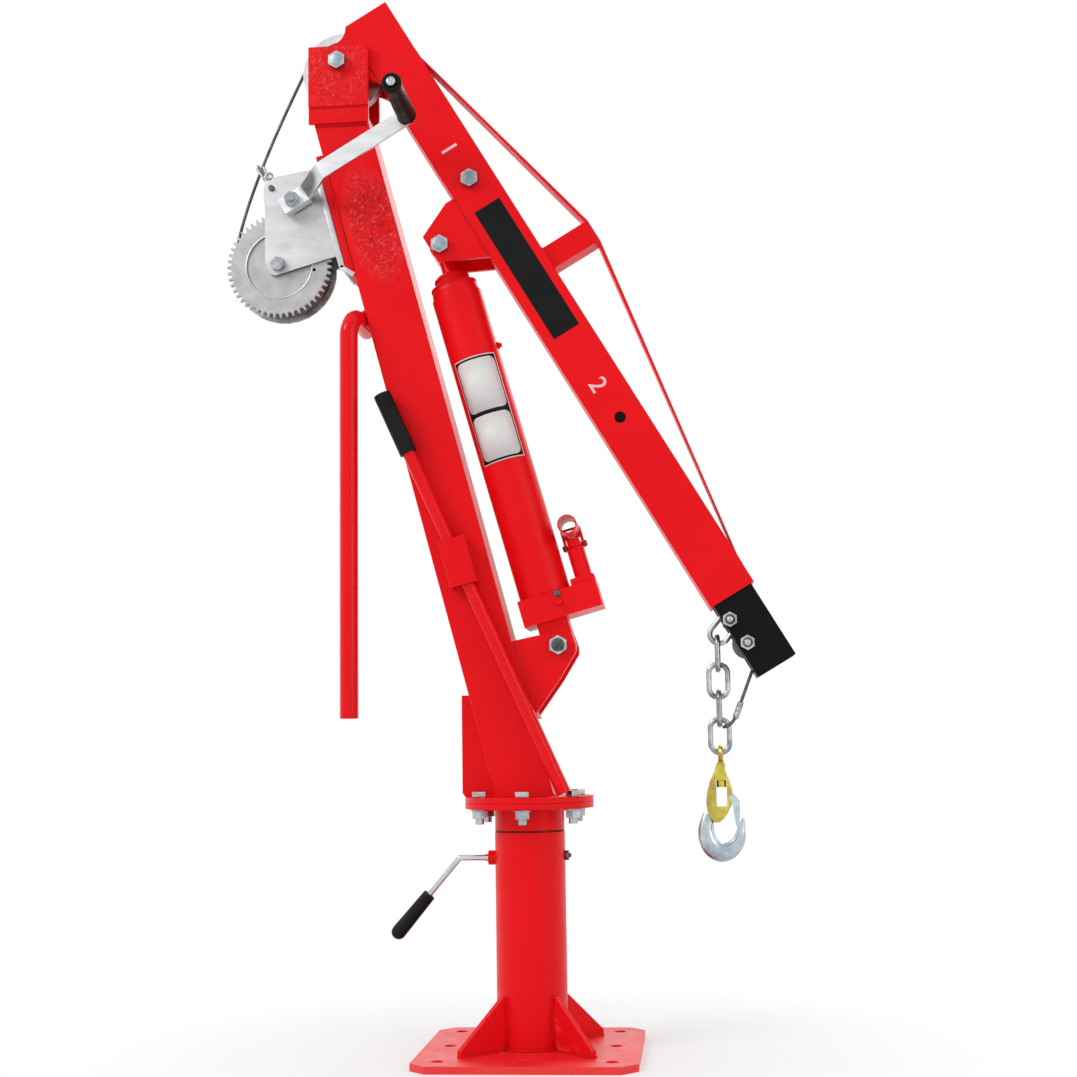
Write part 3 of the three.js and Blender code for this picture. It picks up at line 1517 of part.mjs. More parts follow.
function handleSocket() {
  const cheekNear = linkCheekGap;
  const cheekFar = linkCheekGap + linkCheekThick;
  const cheeks = [-1, 1].map((side) => {
    const [low, high] = [side * cheekNear, side * cheekFar].sort((a, b) => a - b);
    return block(pumpAt + low, pumpAt + high, linkPinY - anchorDepth / 2, linkPinY + anchorDepth / 2,
      linkPinUp - anchorHalf / 2, socketUp);
  });
  const collar = block(pumpAt - cheekFar, pumpAt + cheekFar, linkPinY - anchorDepth / 2,
    linkPinY + anchorDepth / 2, socketUp - socketRadius, socketUp);
  const pinStart = [pumpAt - cheekFar, linkPinY, linkPinUp];
  const pin = rod(linkPinRadius, pinStart, [pumpAt + cheekFar, linkPinY, linkPinUp]);
  const sleeve = rod(socketRadius, [pumpAt, socketNear, socketUp], [pumpAt, linkPinY, socketUp]);
  const boreEnd = linkPinY + anchorDepth;
  const bore = rod(socketBore, [pumpAt, socketNear - overrun, socketUp], [pumpAt, boreEnd, socketUp]);
  const stopY = socketFar + stopPinRadius;
  const stopReach = socketRadius - stopPinRadius;
  const stopStart = [pumpAt - stopReach, stopY, socketUp];
  const stop = rod(stopPinRadius, stopStart, [pumpAt + stopReach, stopY, socketUp]);
  return join(cut(join(sleeve, collar, pin, ...cheeks), bore), stop);
}

function releaseScrew() {
  const face = -baseHalfDepth;
  return join(
    rod(releaseRadius, [releaseX, face - gap - releaseReach, releaseUp], [releaseX, face - gap, releaseUp]),
    rod(releaseRadius - bite, [releaseX, face - releaseReach, releaseUp],
      [releaseX, face + releaseDepth - gap, releaseUp]),
  );
}

// Assembly
place(crane, 'base_plate', basePlate(), redPaint());
place(crane, 'post', post(), redPaint());
place(crane, 'post_bush', postBush(), bronze());
place(crane, 'lock_lever', lockLever(), chrome());
place(crane, 'lock_grip', lockGrip(), blackRubber());
place(crane, 'spindle', spindle(), redPaint());
place(crane, 'mast_flange', mastFlangeWithRib(), redPaint());
flangeBoltAngles().forEach((angle, i) => place(crane, `flange_bolt_${i + 1}`, flangeBolt(angle), zinc()));
place(mastFrame, 'mast_tube', mastTube(), redPaint());
place(crane, 'head_bracket', headBracket(), redPaint());
place(crane, 'jack_bracket', jackBracket(), redPaint());
place(crane, 'push_handle', pushHandle(), redPaint());
place(crane, 'boom_pivot_bolt', crossBolt(pivotX, pivotZ, -headOuter, headOuter, true), zinc());
const bracketOuter = pinGapHalf + bracketThick;
place(crane, 'jack_lower_bolt', crossBolt(jackFootX, jackFootZ, -bracketOuter, bracketOuter, true), zinc());

const handleY = -mastHalf - gap - clipSide / 2 - handleShift;
const handleTurn = THREE.MathUtils.degToRad(handleLean);
const handleFrame = new THREE.Group();
handleFrame.position.set(handleFootX, handleY, mastFlangeTop + gap + handleBarRadius * Math.sin(handleTurn));
handleFrame.rotation.y = -handleTurn;
crane.add(handleFrame);
const clip = place(handleFrame, 'handle_clip', handleClip(), redPaint());
clip.position.set(0, handleShift, clipUp + clipLength / 2);
clip.rotation.y = handleTurn - lean;
place(handleFrame, 'pump_handle', pumpHandle(), redPaint());
place(handleFrame, 'pump_grip', pumpGrip(), blackRubber());

place(mastFrame, 'winch_mount', winchMount(), redPaint());
place(mastFrame, 'winch_frame', winchFrame(), zinc());
place(mastFrame, 'drum_bolt', drumBolt(), zinc());
place(mastFrame, 'winch_drum', winchDrum(), zinc());
place(mastFrame, 'drum_gear', drumGear(), zinc());
const windingPoints = windingRoute();
place(mastFrame, 'rope_winding', tube(windingPoints, ropeRadius, ropeSides, acrossY), ropeSteel());
const selfGap = leastSelfGap(windingPoints, ropeRadius);
console.log(`least gap between the rope's turns: ${selfGap.toFixed(2)} mm`);
place(mastFrame, 'pinion_shaft', pinion(), zinc()).position.set(pinionX, 0, pinionUp);
place(mastFrame, 'winch_pawl', winchPawl(), darkSteel()).position.set(-pawlBack, 0, pawlUp);
const crankFrame = new THREE.Group();
crankFrame.position.set(pinionX, 0, pinionUp);
crankFrame.rotation.y = -(THREE.MathUtils.degToRad(crankAngle) - lean);
mastFrame.add(crankFrame);
place(crankFrame, 'crank_arm', crankArm(), zinc());
place(crankFrame, 'crank_grip', crankGrip(), blackRubber());

const sheaveMesh = place(crane, 'head_sheave', headSheave(), darkSteel());
sheaveMesh.position.copy(headCentre);
sheaveMesh.rotation.x = Math.PI / 2;
place(crane, 'rope_run', ropeRun(), ropeSteel());

place(boomFrame, 'boom_tube', boomTube(), redPaint());
place(boomFrame, 'jack_upper_bolt', jackStub(-1), zinc());
place(boomFrame, 'jack_upper_nut', jackStub(1), zinc());
place(boomFrame, 'truss', truss(), redPaint());
place(boomFrame, 'boom_lock_bolt', crossBolt(lockHoleAt, boomRise, -boomHalf, boomHalf, true), zinc());
place(boomFrame, 'boom_extension', boomExtension(), blackPaint());
const tipBolts = [['chain_bolt', chainBoltX, chainBoltZ], ['tip_bolt', tipBoltX, tipBoltZ]];
tipBolts.forEach(([name, x, z]) => {
  place(boomFrame, name, crossBolt(x, z, -extensionHalf, extensionHalf, false), zinc());
});
const pulleyMesh = place(boomFrame, 'tip_pulley', tipPulley(), darkSteel());
pulleyMesh.position.copy(tipCentre);
pulleyMesh.rotation.x = Math.PI / 2;
place(boomFrame, 'rope_boom', ropeBoom(), ropeSteel());

const firstLink = place(crane, 'chain_link_1', chainLink(), zinc());
firstLink.position.copy(firstLinkCentre);
firstLink.rotation.y = linkTilt;
[0, 1, 2, 3].forEach((i) => {
  const link = place(crane, `chain_link_${i + 2}`, chainLink(), zinc());
  link.position.set(chainX, 0, secondLinkZ - i * linkPitch);
  link.rotation.z = i % 2 === 0 ? Math.PI / 2 : 0;
});
place(crane, 'hook_eye', swivelEye(), yellowZinc()).position.x = chainX;
place(crane, 'hook_body', hookBody(), yellowZinc()).position.x = chainX;
place(crane, 'hook', craneHook(), zinc()).position.x = chainX;
place(crane, 'hook_latch', hookLatch(), zinc()).position.x = chainX;
place(crane, 'rope_tail', ropeTail(), ropeSteel());

place(jackFrame, 'jack_cylinder', jackCylinder(), redPaint());
place(jackFrame, 'jack_ram', jackRam(), chrome());
place(jackFrame, 'jack_base', jackBase(), redPaint());
place(jackFrame, 'pump_piston', pumpPiston(), redPaint());
place(jackFrame, 'handle_socket', handleSocket(), redPaint());
place(jackFrame, 'release_screw', releaseScrew(), redPaint());

export default crane;
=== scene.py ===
"""Hydraulic swivel crane, dressed: camera, studio, finishes, ropes, weld beads and small fittings.

Lengths are in mm and MM turns them into metres. Those given in metres say so.
"""

import json
import math

import bmesh
import bpy
from mathutils import Matrix, Vector

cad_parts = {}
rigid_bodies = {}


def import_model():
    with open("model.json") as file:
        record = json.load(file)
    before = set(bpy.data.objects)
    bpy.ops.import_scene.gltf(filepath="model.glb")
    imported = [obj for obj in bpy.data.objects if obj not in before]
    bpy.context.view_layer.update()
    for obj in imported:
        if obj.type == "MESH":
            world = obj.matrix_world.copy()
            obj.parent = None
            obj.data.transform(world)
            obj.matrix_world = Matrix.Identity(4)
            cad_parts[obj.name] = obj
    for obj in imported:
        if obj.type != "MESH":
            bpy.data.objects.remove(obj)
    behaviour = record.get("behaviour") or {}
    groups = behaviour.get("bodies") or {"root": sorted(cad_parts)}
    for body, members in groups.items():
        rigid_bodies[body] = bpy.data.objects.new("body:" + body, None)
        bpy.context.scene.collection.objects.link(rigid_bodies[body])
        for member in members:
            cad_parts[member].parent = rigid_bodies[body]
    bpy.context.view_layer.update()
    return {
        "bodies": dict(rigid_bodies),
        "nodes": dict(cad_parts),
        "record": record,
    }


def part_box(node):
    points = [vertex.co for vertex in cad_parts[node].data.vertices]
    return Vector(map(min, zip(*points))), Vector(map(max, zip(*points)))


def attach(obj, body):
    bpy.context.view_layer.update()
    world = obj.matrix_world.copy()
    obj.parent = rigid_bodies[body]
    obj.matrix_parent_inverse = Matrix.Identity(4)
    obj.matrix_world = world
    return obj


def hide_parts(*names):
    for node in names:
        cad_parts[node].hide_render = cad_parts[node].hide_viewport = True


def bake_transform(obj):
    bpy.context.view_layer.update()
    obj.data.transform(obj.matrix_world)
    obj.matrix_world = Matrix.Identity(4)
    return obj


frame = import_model()
NODES = frame["nodes"]

MM = 0.001
FULL_TURN = 2.0 * math.pi
SIDES = (-1.0, 1.0)

# The foot of the mast's axis, and half of the mast's side
MAST_X = -2.0
MAST_UP = 350.2
MAST_HALF = 39.0

# Where the leaning and sloping groups of parts start, in metres, and how they turn
MAST_FOOT = Vector((MAST_X * MM, 0.0, MAST_UP * MM))
MAST_LEAN = math.radians(14.7)
PIVOT = Vector((-0.263, 0.0, 1.424))
BOOM_SLOPE = math.radians(59.6)
JACK_FOOT = Vector((0.0476, 0.0, 0.5587))
JACK_LEAN = math.radians(15.5381)
PINION = Vector((-0.32803, 0.0, 1.21375))
CRANK_RISE = math.radians(30.7)
HANDLE_FOOT = Vector((0.0536, -0.0578, 0.354551))
HANDLE_LEAN = math.radians(23.9)
CLIP_ON_HANDLE = Vector((0.0, 0.0025, 0.352))
CHAIN_X = 0.26844


def turned_frame(origin, angle):
    """A frame at origin whose X axis rises by angle towards +Z."""
    return Matrix.Translation(origin) @ Matrix.Rotation(-angle, 4, "Y")


MAST = turned_frame(MAST_FOOT, MAST_LEAN)
BOOM = turned_frame(PIVOT, -BOOM_SLOPE)
JACK = turned_frame(JACK_FOOT, JACK_LEAN)
CRANK = turned_frame(PINION, CRANK_RISE)
HANDLE = turned_frame(HANDLE_FOOT, HANDLE_LEAN)
CLIP = turned_frame(HANDLE @ CLIP_ON_HANDLE, MAST_LEAN)
GROUND = Matrix.Identity(4)
HOOK = Matrix.Translation((CHAIN_X, 0.0, 0.0))


# Camera, set from the photograph's angle, height and distance

CAMERA_PLACE = (0.23843, -2.30957, 0.41721)  # metres
CAMERA_AZIMUTH = 0.0949
CAMERA_PITCH = 0.1273
CAMERA_ROLL = -0.0159
FOCAL_PIXELS = 1634.13
FRAME_PIXELS = 1077
SENSOR_WIDTH = 36.0
FAR_CLIP = 50.0  # metres


def photo_camera():
    level = math.cos(CAMERA_PITCH)
    ahead = Vector((-math.sin(CAMERA_AZIMUTH) * level, math.cos(CAMERA_AZIMUTH) * level,
                    math.sin(CAMERA_PITCH)))
    right = ahead.cross(Vector((0.0, 0.0, 1.0))).normalized()
    up = right.cross(ahead)
    across = right * math.cos(CAMERA_ROLL) + up * math.sin(CAMERA_ROLL)
    upward = up * math.cos(CAMERA_ROLL) - right * math.sin(CAMERA_ROLL)
    data = bpy.data.cameras.new("photo_camera")
    data.sensor_width = SENSOR_WIDTH
    data.lens = FOCAL_PIXELS / FRAME_PIXELS * SENSOR_WIDTH
    data.clip_end = FAR_CLIP
    camera = bpy.data.objects.new("photo_camera", data)
    bpy.context.scene.collection.objects.link(camera)
    turn = Matrix((across, upward, -ahead)).transposed().to_4x4()
    camera.matrix_world = Matrix.Translation(CAMERA_PLACE) @ turn
    bpy.context.scene.camera = camera


# Node helpers

NOISE_SPAN = (0.3, 0.7)  # nearly all of a noise lies between these
PATCH_CORE = 0.6  # share of a patch that isn't faded
EDGE_SHARP = 0.6
EDGE_RAMP = 0.08


def add(tree, kind, **sockets):
    node = tree.nodes.new(kind)
    for name, value in sockets.items():
        node.inputs[name.replace("_", " ")].default_value = value
    return node


def object_coords(tree, scale=(1.0, 1.0, 1.0)):
    place = tree.nodes.new("ShaderNodeTexCoord")
    mapping = tree.nodes.new("ShaderNodeMapping")
    mapping.inputs["Scale"].default_value = scale
    tree.links.new(place.outputs["Object"], mapping.inputs["Vector"])
    return mapping.outputs["Vector"]


def length_of(tree, vector):
    node = tree.nodes.new("ShaderNodeVectorMath")
    node.operation = "LENGTH"
    tree.links.new(vector, node.inputs[0])
    return node.outputs["Value"]


def patch_mask(tree, centre, halves, turn=0.0):
    """1 inside an ellipsoid about centre, in metres, fading to 0 at its edge."""
    place = tree.nodes.new("ShaderNodeTexCoord")
    mapping = tree.nodes.new("ShaderNodeMapping")
    mapping.vector_type = "TEXTURE"
    mapping.inputs["Location"].default_value = centre
    mapping.inputs["Rotation"].default_value = (0.0, -turn, 0.0)
    mapping.inputs["Scale"].default_value = halves
    tree.links.new(place.outputs["Object"], mapping.inputs["Vector"])
    return remap(tree, length_of(tree, mapping.outputs["Vector"]), PATCH_CORE, 1.0, 1.0, 0.0)


def times(tree, first, second):
    node = tree.nodes.new("ShaderNodeMath")
    node.operation = "MULTIPLY"
    for socket, value in zip(node.inputs, (first, second)):
        if isinstance(value, float):
            socket.default_value = value
        else:
            tree.links.new(value, socket)
    return node.outputs["Value"]


def noise(tree, coords, scale, detail=3.0, roughness=0.5, distortion=0.0):
    node = add(tree, "ShaderNodeTexNoise", Scale=scale, Detail=detail, Roughness=roughness,
               Distortion=distortion)
    tree.links.new(coords, node.inputs["Vector"])
    return node.outputs["Fac"]


def remap(tree, value, low, high, to_low=0.0, to_high=1.0):
    node = add(tree, "ShaderNodeMapRange", From_Min=low, From_Max=high, To_Min=to_low, To_Max=to_high)
    tree.links.new(value, node.inputs["Value"])
    return node.outputs["Result"]


def blend_colors(tree, factor, first, second):
    node = tree.nodes.new("ShaderNodeMix")
    node.data_type = "RGBA"
    for socket, color in (("A_Color", first), ("B_Color", second)):
        target = next(s for s in node.inputs if s.identifier == socket)
        if isinstance(color, (tuple, list)):
            target.default_value = (*color, 1.0)
        else:
            tree.links.new(color, target)
    target = next(s for s in node.inputs if s.identifier == "Factor_Float")
    tree.links.new(factor, target)
    return next(s for s in node.outputs if s.identifier == "Result_Color")


def bump(tree, height, strength, distance, under=None):
    node = add(tree, "ShaderNodeBump", Strength=strength, Distance=distance)
    tree.links.new(height, node.inputs["Height"])
    if under is not None:
        tree.links.new(under, node.inputs["Normal"])
    return node.outputs["Normal"]


def mixed(tree, factor, first, second, surface):
    """The surface shows the first shader where factor is 0, and the second where it is 1."""
    mix = tree.nodes.new("ShaderNodeMixShader")
    tree.links.new(factor, mix.inputs["Fac"])
    tree.links.new(first.outputs[0], mix.inputs[1])
    tree.links.new(second.outputs[0], mix.inputs[2])
    tree.links.new(mix.outputs[0], surface)


def new_finish(name):
    material = bpy.data.materials.new(name)
    material.use_nodes = True
    tree = material.node_tree
    return material, tree, tree.nodes["Principled BSDF"]


def worn_edges(tree, coords):
    """1 on convex edges, broken up by a noise."""
    geometry = tree.nodes.new("ShaderNodeNewGeometry")
    edge = remap(tree, geometry.outputs["Pointiness"], EDGE_SHARP, EDGE_SHARP + EDGE_RAMP)
    patches = noise(tree, coords, scale=60.0, detail=4.0, roughness=0.65)
    return times(tree, edge, remap(tree, patches, 0.5, 0.62))


# Finishes. Distances of a bump are in metres.

# A pale colour painted on the wrinkles' crests as a highlight, and a share of the deep tone painted in their
# pits as shade
CREST_HIGHLIGHT = (0.95, 0.16, 0.17)
PIT_SHADE = 0.22
CHIP_SHARE = 0.5
CHIP_PALER = 0.1
RUBBER_GLOSS = 0.14


def wrinkled(tree, coords, tone, skin, deep, patch, grain, depth):
    """Thick paint over a patch: a coarse bump, with painted highlights on the crests and painted shade in the
    pits.
    """
    wrinkle = noise(tree, coords, grain, detail=4.0, roughness=0.62, distortion=1.2)
    # Pale colour on the crests is a painted highlight, and dark colour in the pits is painted shade
    crest_highlight = times(tree, patch, remap(tree, wrinkle, 0.52, 0.68, 0.0, depth))
    tone = blend_colors(tree, crest_highlight, tone, CREST_HIGHLIGHT)
    hollow = noise(tree, coords, 0.8 * grain, detail=3.0, roughness=0.6, distortion=1.0)
    pit_shade = times(tree, patch, remap(tree, hollow, 0.34, 0.42, depth, 0.0))
    tone = blend_colors(tree, pit_shade, tone, tuple(PIT_SHADE * c for c in deep))
    return tone, bump(tree, times(tree, patch, wrinkle), strength=1.0, distance=0.0035, under=skin)


def enamel(name, color, deep, peel=0.3, rough=(0.34, 0.42), scale=230.0, gloss=0.3, tint=(1.0, 0.4, 0.4),
           hammered=None):
    """Sprayed enamel: clouds of tone, an orange peel and chipped edges.

    hammered is a patch's centre, halves and turn, the grain of the wrinkles in it, and the depth of the
    painted highlights on their crests and the painted shade in their pits.
    """
    material, tree, shader = new_finish(name)
    coords = object_coords(tree)
    cloud = noise(tree, coords, scale=7.0, detail=4.0, roughness=0.6)
    tone = blend_colors(tree, remap(tree, cloud, *NOISE_SPAN), color, deep)
    skin = bump(tree, noise(tree, coords, scale, detail=2.0, roughness=0.55), peel, distance=0.0005)
    if hammered:
        patch = patch_mask(tree, *hammered[:3])
        tone, skin = wrinkled(tree, coords, tone, skin, deep, patch, *hammered[3:])
    chip = times(tree, worn_edges(tree, coords), CHIP_SHARE)
    tone = blend_colors(tree, chip, tone, tuple(min(1.0, CHIP_PALER + c) for c in deep))
    tree.links.new(tone, shader.inputs["Base Color"])
    tree.links.new(remap(tree, noise(tree, coords, 40.0), *NOISE_SPAN, *rough), shader.inputs["Roughness"])
    sag = noise(tree, coords, scale=22.0)
    skin = bump(tree, sag, strength=0.1, distance=0.002, under=skin)
    tree.links.new(skin, shader.inputs["Normal"])
    shader.inputs["Specular IOR Level"].default_value = gloss
    shader.inputs["Specular Tint"].default_value = (*tint, 1.0)
    return material


def plated(name, color, dull, rough=(0.22, 0.45), metal=1.0, grain=(1.0, 1.0, 1.0), bump_strength=0.12,
           patch=None):
    """Plated or bare metal, or a plain coat where metal is 0: a cloudy tone, dull patches and a fine grain.

    patch is what patch_mask takes, and the tone and metalness inside it.
    """
    material, tree, shader = new_finish(name)
    coords = object_coords(tree, grain)
    cloud = noise(tree, coords, scale=34.0, detail=5.0, roughness=0.65)
    tone = blend_colors(tree, remap(tree, cloud, 0.35, 0.65), color, dull)
    shader.inputs["Metallic"].default_value = metal
    if patch:
        place, patch_tone, patch_metal = patch
        mask = patch_mask(tree, *place)
        tone = blend_colors(tree, mask, tone, patch_tone)
        tree.links.new(remap(tree, mask, 0.0, 1.0, metal, patch_metal), shader.inputs["Metallic"])
    tree.links.new(tone, shader.inputs["Base Color"])
    tree.links.new(remap(tree, noise(tree, coords, 90.0), *NOISE_SPAN, *rough), shader.inputs["Roughness"])
    fine = noise(tree, coords, scale=420.0, detail=2.0)
    tree.links.new(bump(tree, fine, bump_strength, distance=0.0004), shader.inputs["Normal"])
    return material


def moulded_rubber(name, color, pale):
    """Matt rubber with a fine grain and rubbed, slightly paler patches."""
    material, tree, shader = new_finish(name)
    coords = object_coords(tree)
    cloud = noise(tree, coords, scale=22.0, detail=4.0)
    tone = blend_colors(tree, remap(tree, cloud, 0.35, 0.7), color, pale)
    tree.links.new(tone, shader.inputs["Base Color"])
    rubbed = remap(tree, noise(tree, coords, 55.0), *NOISE_SPAN, 0.38, 0.6)
    tree.links.new(rubbed, shader.inputs["Roughness"])
    fine = noise(tree, coords, scale=700.0, detail=2.0)
    tree.links.new(bump(tree, fine, strength=0.2, distance=0.0003), shader.inputs["Normal"])
    shader.inputs["Specular IOR Level"].default_value = RUBBER_GLOSS
    return material


SIGNAL_RED = (0.84, 0.0046, 0.0095)
DEEP_RED = (0.76, 0.0036, 0.0072)
FINISHES = {
    "red_paint": enamel("red_enamel", SIGNAL_RED, DEEP_RED),
    "black_paint": enamel("black_enamel", (0.0028, 0.0028, 0.003), (0.0045, 0.0045, 0.005), peel=0.2,
                          rough=(0.35, 0.45), gloss=0.1, tint=(1.0, 1.0, 1.0)),
    "zinc": plated("bright_zinc", (0.56, 0.58, 0.61), (0.24, 0.26, 0.28), (0.2, 0.42)),
    "dark_steel": plated("dull_steel", (0.2, 0.2, 0.21), (0.1, 0.1, 0.11), (0.35, 0.55)),
    "chrome": plated("polished_chrome", (0.7, 0.72, 0.74), (0.5, 0.52, 0.55), (0.06, 0.16),
                     bump_strength=0.03),
    "black_rubber": moulded_rubber("black_grip_rubber", (0.0035, 0.0035, 0.004), (0.009, 0.009, 0.0095)),
    "yellow_zinc": plated("yellow_passivate", (0.68, 0.58, 0.1), (0.34, 0.25, 0.06), (0.25, 0.42)),
    "rope_steel": plated("rope_wire", (0.16, 0.16, 0.17), (0.06, 0.06, 0.065), (0.35, 0.6)),
    "bronze": plated("oiled_bronze", (0.16, 0.07, 0.03), (0.08, 0.035, 0.02), (0.4, 0.55)),
}

# Finishes of new pieces, and of CAD pieces that look unlike the rest of their slot
FERRULE_ALLOY = plated("pressed_alloy", (0.5, 0.5, 0.52), (0.25, 0.25, 0.27), (0.35, 0.55))
BEAD_RED = enamel("red_over_weld", (0.8, 0.006, 0.01), (0.55, 0.003, 0.006), peel=0.6, rough=(0.22, 0.4),
                  scale=150.0)
GRIP_PLASTIC = moulded_rubber("crank_grip_plastic", (0.0025, 0.0025, 0.003), (0.006, 0.006, 0.0065))
BAND_BLACK = moulded_rubber("plain_band", (0.0035, 0.0035, 0.004), (0.006, 0.006, 0.0065))
PLATE_WHITE = plated("plain_plate", (0.74, 0.74, 0.73), (0.68, 0.68, 0.67), (0.4, 0.55), metal=0.0)
STENCIL = plated("stencil_white", (0.85, 0.6, 0.6), (0.8, 0.45, 0.45), (0.45, 0.65), metal=0.0)
SHEET_ZINC = plated("winch_sheet", (0.62, 0.62, 0.63), (0.47, 0.47, 0.48), (0.4, 0.52),
                    grain=(0.35, 1.0, 1.0))
GEAR_GREY = plated("pressed_gear", (0.47, 0.47, 0.47), (0.36, 0.36, 0.37), (0.45, 0.58))
DRUM_STEEL = plated("drum_steel", (0.66, 0.66, 0.67), (0.2, 0.2, 0.21), (0.3, 0.45), metal=0.5)
# The patch darkens the zinc to 0.2 on the crank's sloping bend: painted shade and a painted dark reflection
STRIP_ZINC = plated("crank_strip", (0.82, 0.83, 0.84), (0.6, 0.61, 0.63), (0.36, 0.5),
                    grain=(0.3, 1.0, 1.0),
                    patch=(((-0.301, -0.055, 1.237), (0.021, 0.06, 0.021)), (0.2, 0.2, 0.2), 1.0))
LINK_STEEL = plated("galvanised_link", (0.62, 0.63, 0.64), (0.16, 0.16, 0.17), (0.2, 0.4))
HOOK_STEEL = plated("forged_hook", (0.66, 0.72, 0.76), (0.32, 0.38, 0.43), (0.2, 0.38))
DARK_FACE = plated("bolt_face", (0.15, 0.15, 0.14), (0.02, 0.02, 0.018), (0.3, 0.5), bump_strength=0.5)
BLUE_FACE = plated("blued_face", (0.4, 0.48, 0.51), (0.14, 0.19, 0.21), (0.24, 0.45), bump_strength=0.5)
GLOSS_TUBE = enamel("glossy_tube", SIGNAL_RED, DEEP_RED, peel=0.12, rough=(0.1, 0.17), gloss=0.32,
                    tint=(1.0, 0.45, 0.45))
NODE_FINISHES = {
    "push_handle": GLOSS_TUBE, "pump_handle": GLOSS_TUBE,
    "base_plate": enamel("plate_enamel", (0.88, 0.016, 0.02), (0.84, 0.01, 0.014), rough=(0.3, 0.45),
                         gloss=0.75, tint=(1.0, 0.85, 0.85)),
    "winch_frame": SHEET_ZINC, "drum_gear": GEAR_GREY, "winch_drum": DRUM_STEEL, "crank_arm": STRIP_ZINC,
    **{"chain_link_" + str(number): LINK_STEEL for number in range(1, 6)},
    "hook": HOOK_STEEL, "hook_latch": HOOK_STEEL,
    "jack_ram": plated("ram_chrome", (0.7, 0.72, 0.74), (0.5, 0.52, 0.55), (0.1, 0.2), bump_strength=0.05,
                       patch=(((-0.112, 0.0, 1.132), (0.075, 0.075, 0.075)), SIGNAL_RED, 0.0)),
    "head_sheave": plated("pale_sheave", (0.74, 0.75, 0.76), (0.5, 0.5, 0.52), (0.3, 0.48)),
    # The patches beside the winch and on the head's near plate carry wrinkles in the bump, with painted
    # highlights on their crests and painted shade in their pits
    "mast_tube": enamel("mast_enamel", SIGNAL_RED, DEEP_RED,
                        hammered=((-0.211, -0.039, 1.178), (0.044, 0.03, 0.1), MAST_LEAN, 190.0, 0.7)),
    "head_bracket": enamel("head_enamel", SIGNAL_RED, DEEP_RED,
                           hammered=((-0.262, -0.0483, 1.405), (0.066, 0.03, 0.066), 0.0, 105.0, 0.4)),
}


# CAD nodes: finish from the record's slot, and softened edges. Widths are in metres.

SAME_POINT = 0.00002
FLAT_ANGLE = math.radians(1.0)
EDGE_ANGLE = math.radians(35.0)
EDGE_SEGMENTS = 2
PLAIN_EDGE = 0.0008
EDGE_WIDTHS = {
    "base_plate": 0.0012, "mast_tube": 0.005, "boom_tube": 0.0045, "boom_extension": 0.004,
    "head_bracket": 0.0015, "truss": 0.0012, "winch_frame": 0.0006, "drum_gear": 0.0003,
    "pinion_shaft": 0.0003, "crank_arm": 0.0012, "jack_base": 0.003, "jack_cylinder": 0.0012,
    "crank_grip": 0.002, "pump_grip": 0.003, "hook_latch": 0.0004, "hook_eye": 0.0003,
    "handle_clip": 0.002, "post": 0.001, "winch_pawl": 0.0006, "hook": 0.0016, "hook_body": 0.0016,
}


def soften(node, width):
    weld = node.modifiers.new("weld", "WELD")
    weld.merge_threshold = SAME_POINT
    flat = node.modifiers.new("flat_faces", "DECIMATE")
    flat.decimate_type = "DISSOLVE"
    flat.angle_limit = FLAT_ANGLE
    edge = node.modifiers.new("soft_edge", "BEVEL")
    edge.width = width
    edge.segments = EDGE_SEGMENTS
    edge.limit_method = "ANGLE"
    edge.angle_limit = EDGE_ANGLE
    edge.harden_normals = False
    normals = node.modifiers.new("even_normals", "WEIGHTED_NORMAL")
    normals.keep_sharp = True


def finish_nodes():
    slots = {entry["node"]: entry["material_slot"] for entry in frame["record"]["subparts"]}
    for name, node in NODES.items():
        node.data.materials.clear()
        node.data.materials.append(NODE_FINISHES.get(name, FINISHES[slots[name]]))
        for face in node.data.polygons:
            face.use_smooth = True
        soften(node, EDGE_WIDTHS.get(name, PLAIN_EDGE))


# Studio, in metres and watts

AMBIENT = 0.66
WHITE = (1.0, 1.0, 1.0, 1.0)
LAMPS = {  # place, the point it looks at, width and height, power
    "key": ((-2.9, -2.3, 3.2), (0.0, 0.0, 0.8), (1.6, 1.6), 66.0),
    "fill": ((2.6, -2.0, 1.6), (0.0, 0.0, 0.7), (1.4, 2.0), 17.0),
    "rim": ((0.8, 2.4, 2.4), (0.0, 0.0, 0.9), (1.2, 1.2), 16.0),
}
FLOOR_HALF = 12.0
FLOOR_WHITE = (0.86, 0.86, 0.86, 1.0)
FLOOR_ROUGHNESS = 0.8
SHADOW_CORE = 0.12  # the shadow shows fully out to here, and is gone at SHADOW_EDGE
SHADOW_EDGE = 0.62
CORE_GLOW = 0.25


def area_light(name, place, target, size, power):
    data = bpy.data.lights.new(name, "AREA")
    data.shape = "RECTANGLE"
    data.size, data.size_y = size
    data.energy = power
    lamp = bpy.data.objects.new(name, data)
    bpy.context.scene.collection.objects.link(lamp)
    lamp.location = place
    lamp.rotation_euler = (Vector(target) - Vector(place)).to_track_quat("-Z", "Y").to_euler()


def seen_directly(tree):
    """1 for rays that should see the plain white background."""
    path = tree.nodes.new("ShaderNodeLightPath")
    total = path.outputs["Is Camera Ray"]
    for name in ("Is Glossy Ray", "Is Transmission Ray"):
        node = tree.nodes.new("ShaderNodeMath")
        node.operation = "MAXIMUM"
        tree.links.new(total, node.inputs[0])
        tree.links.new(path.outputs[name], node.inputs[1])
        total = node.outputs["Value"]
    return total


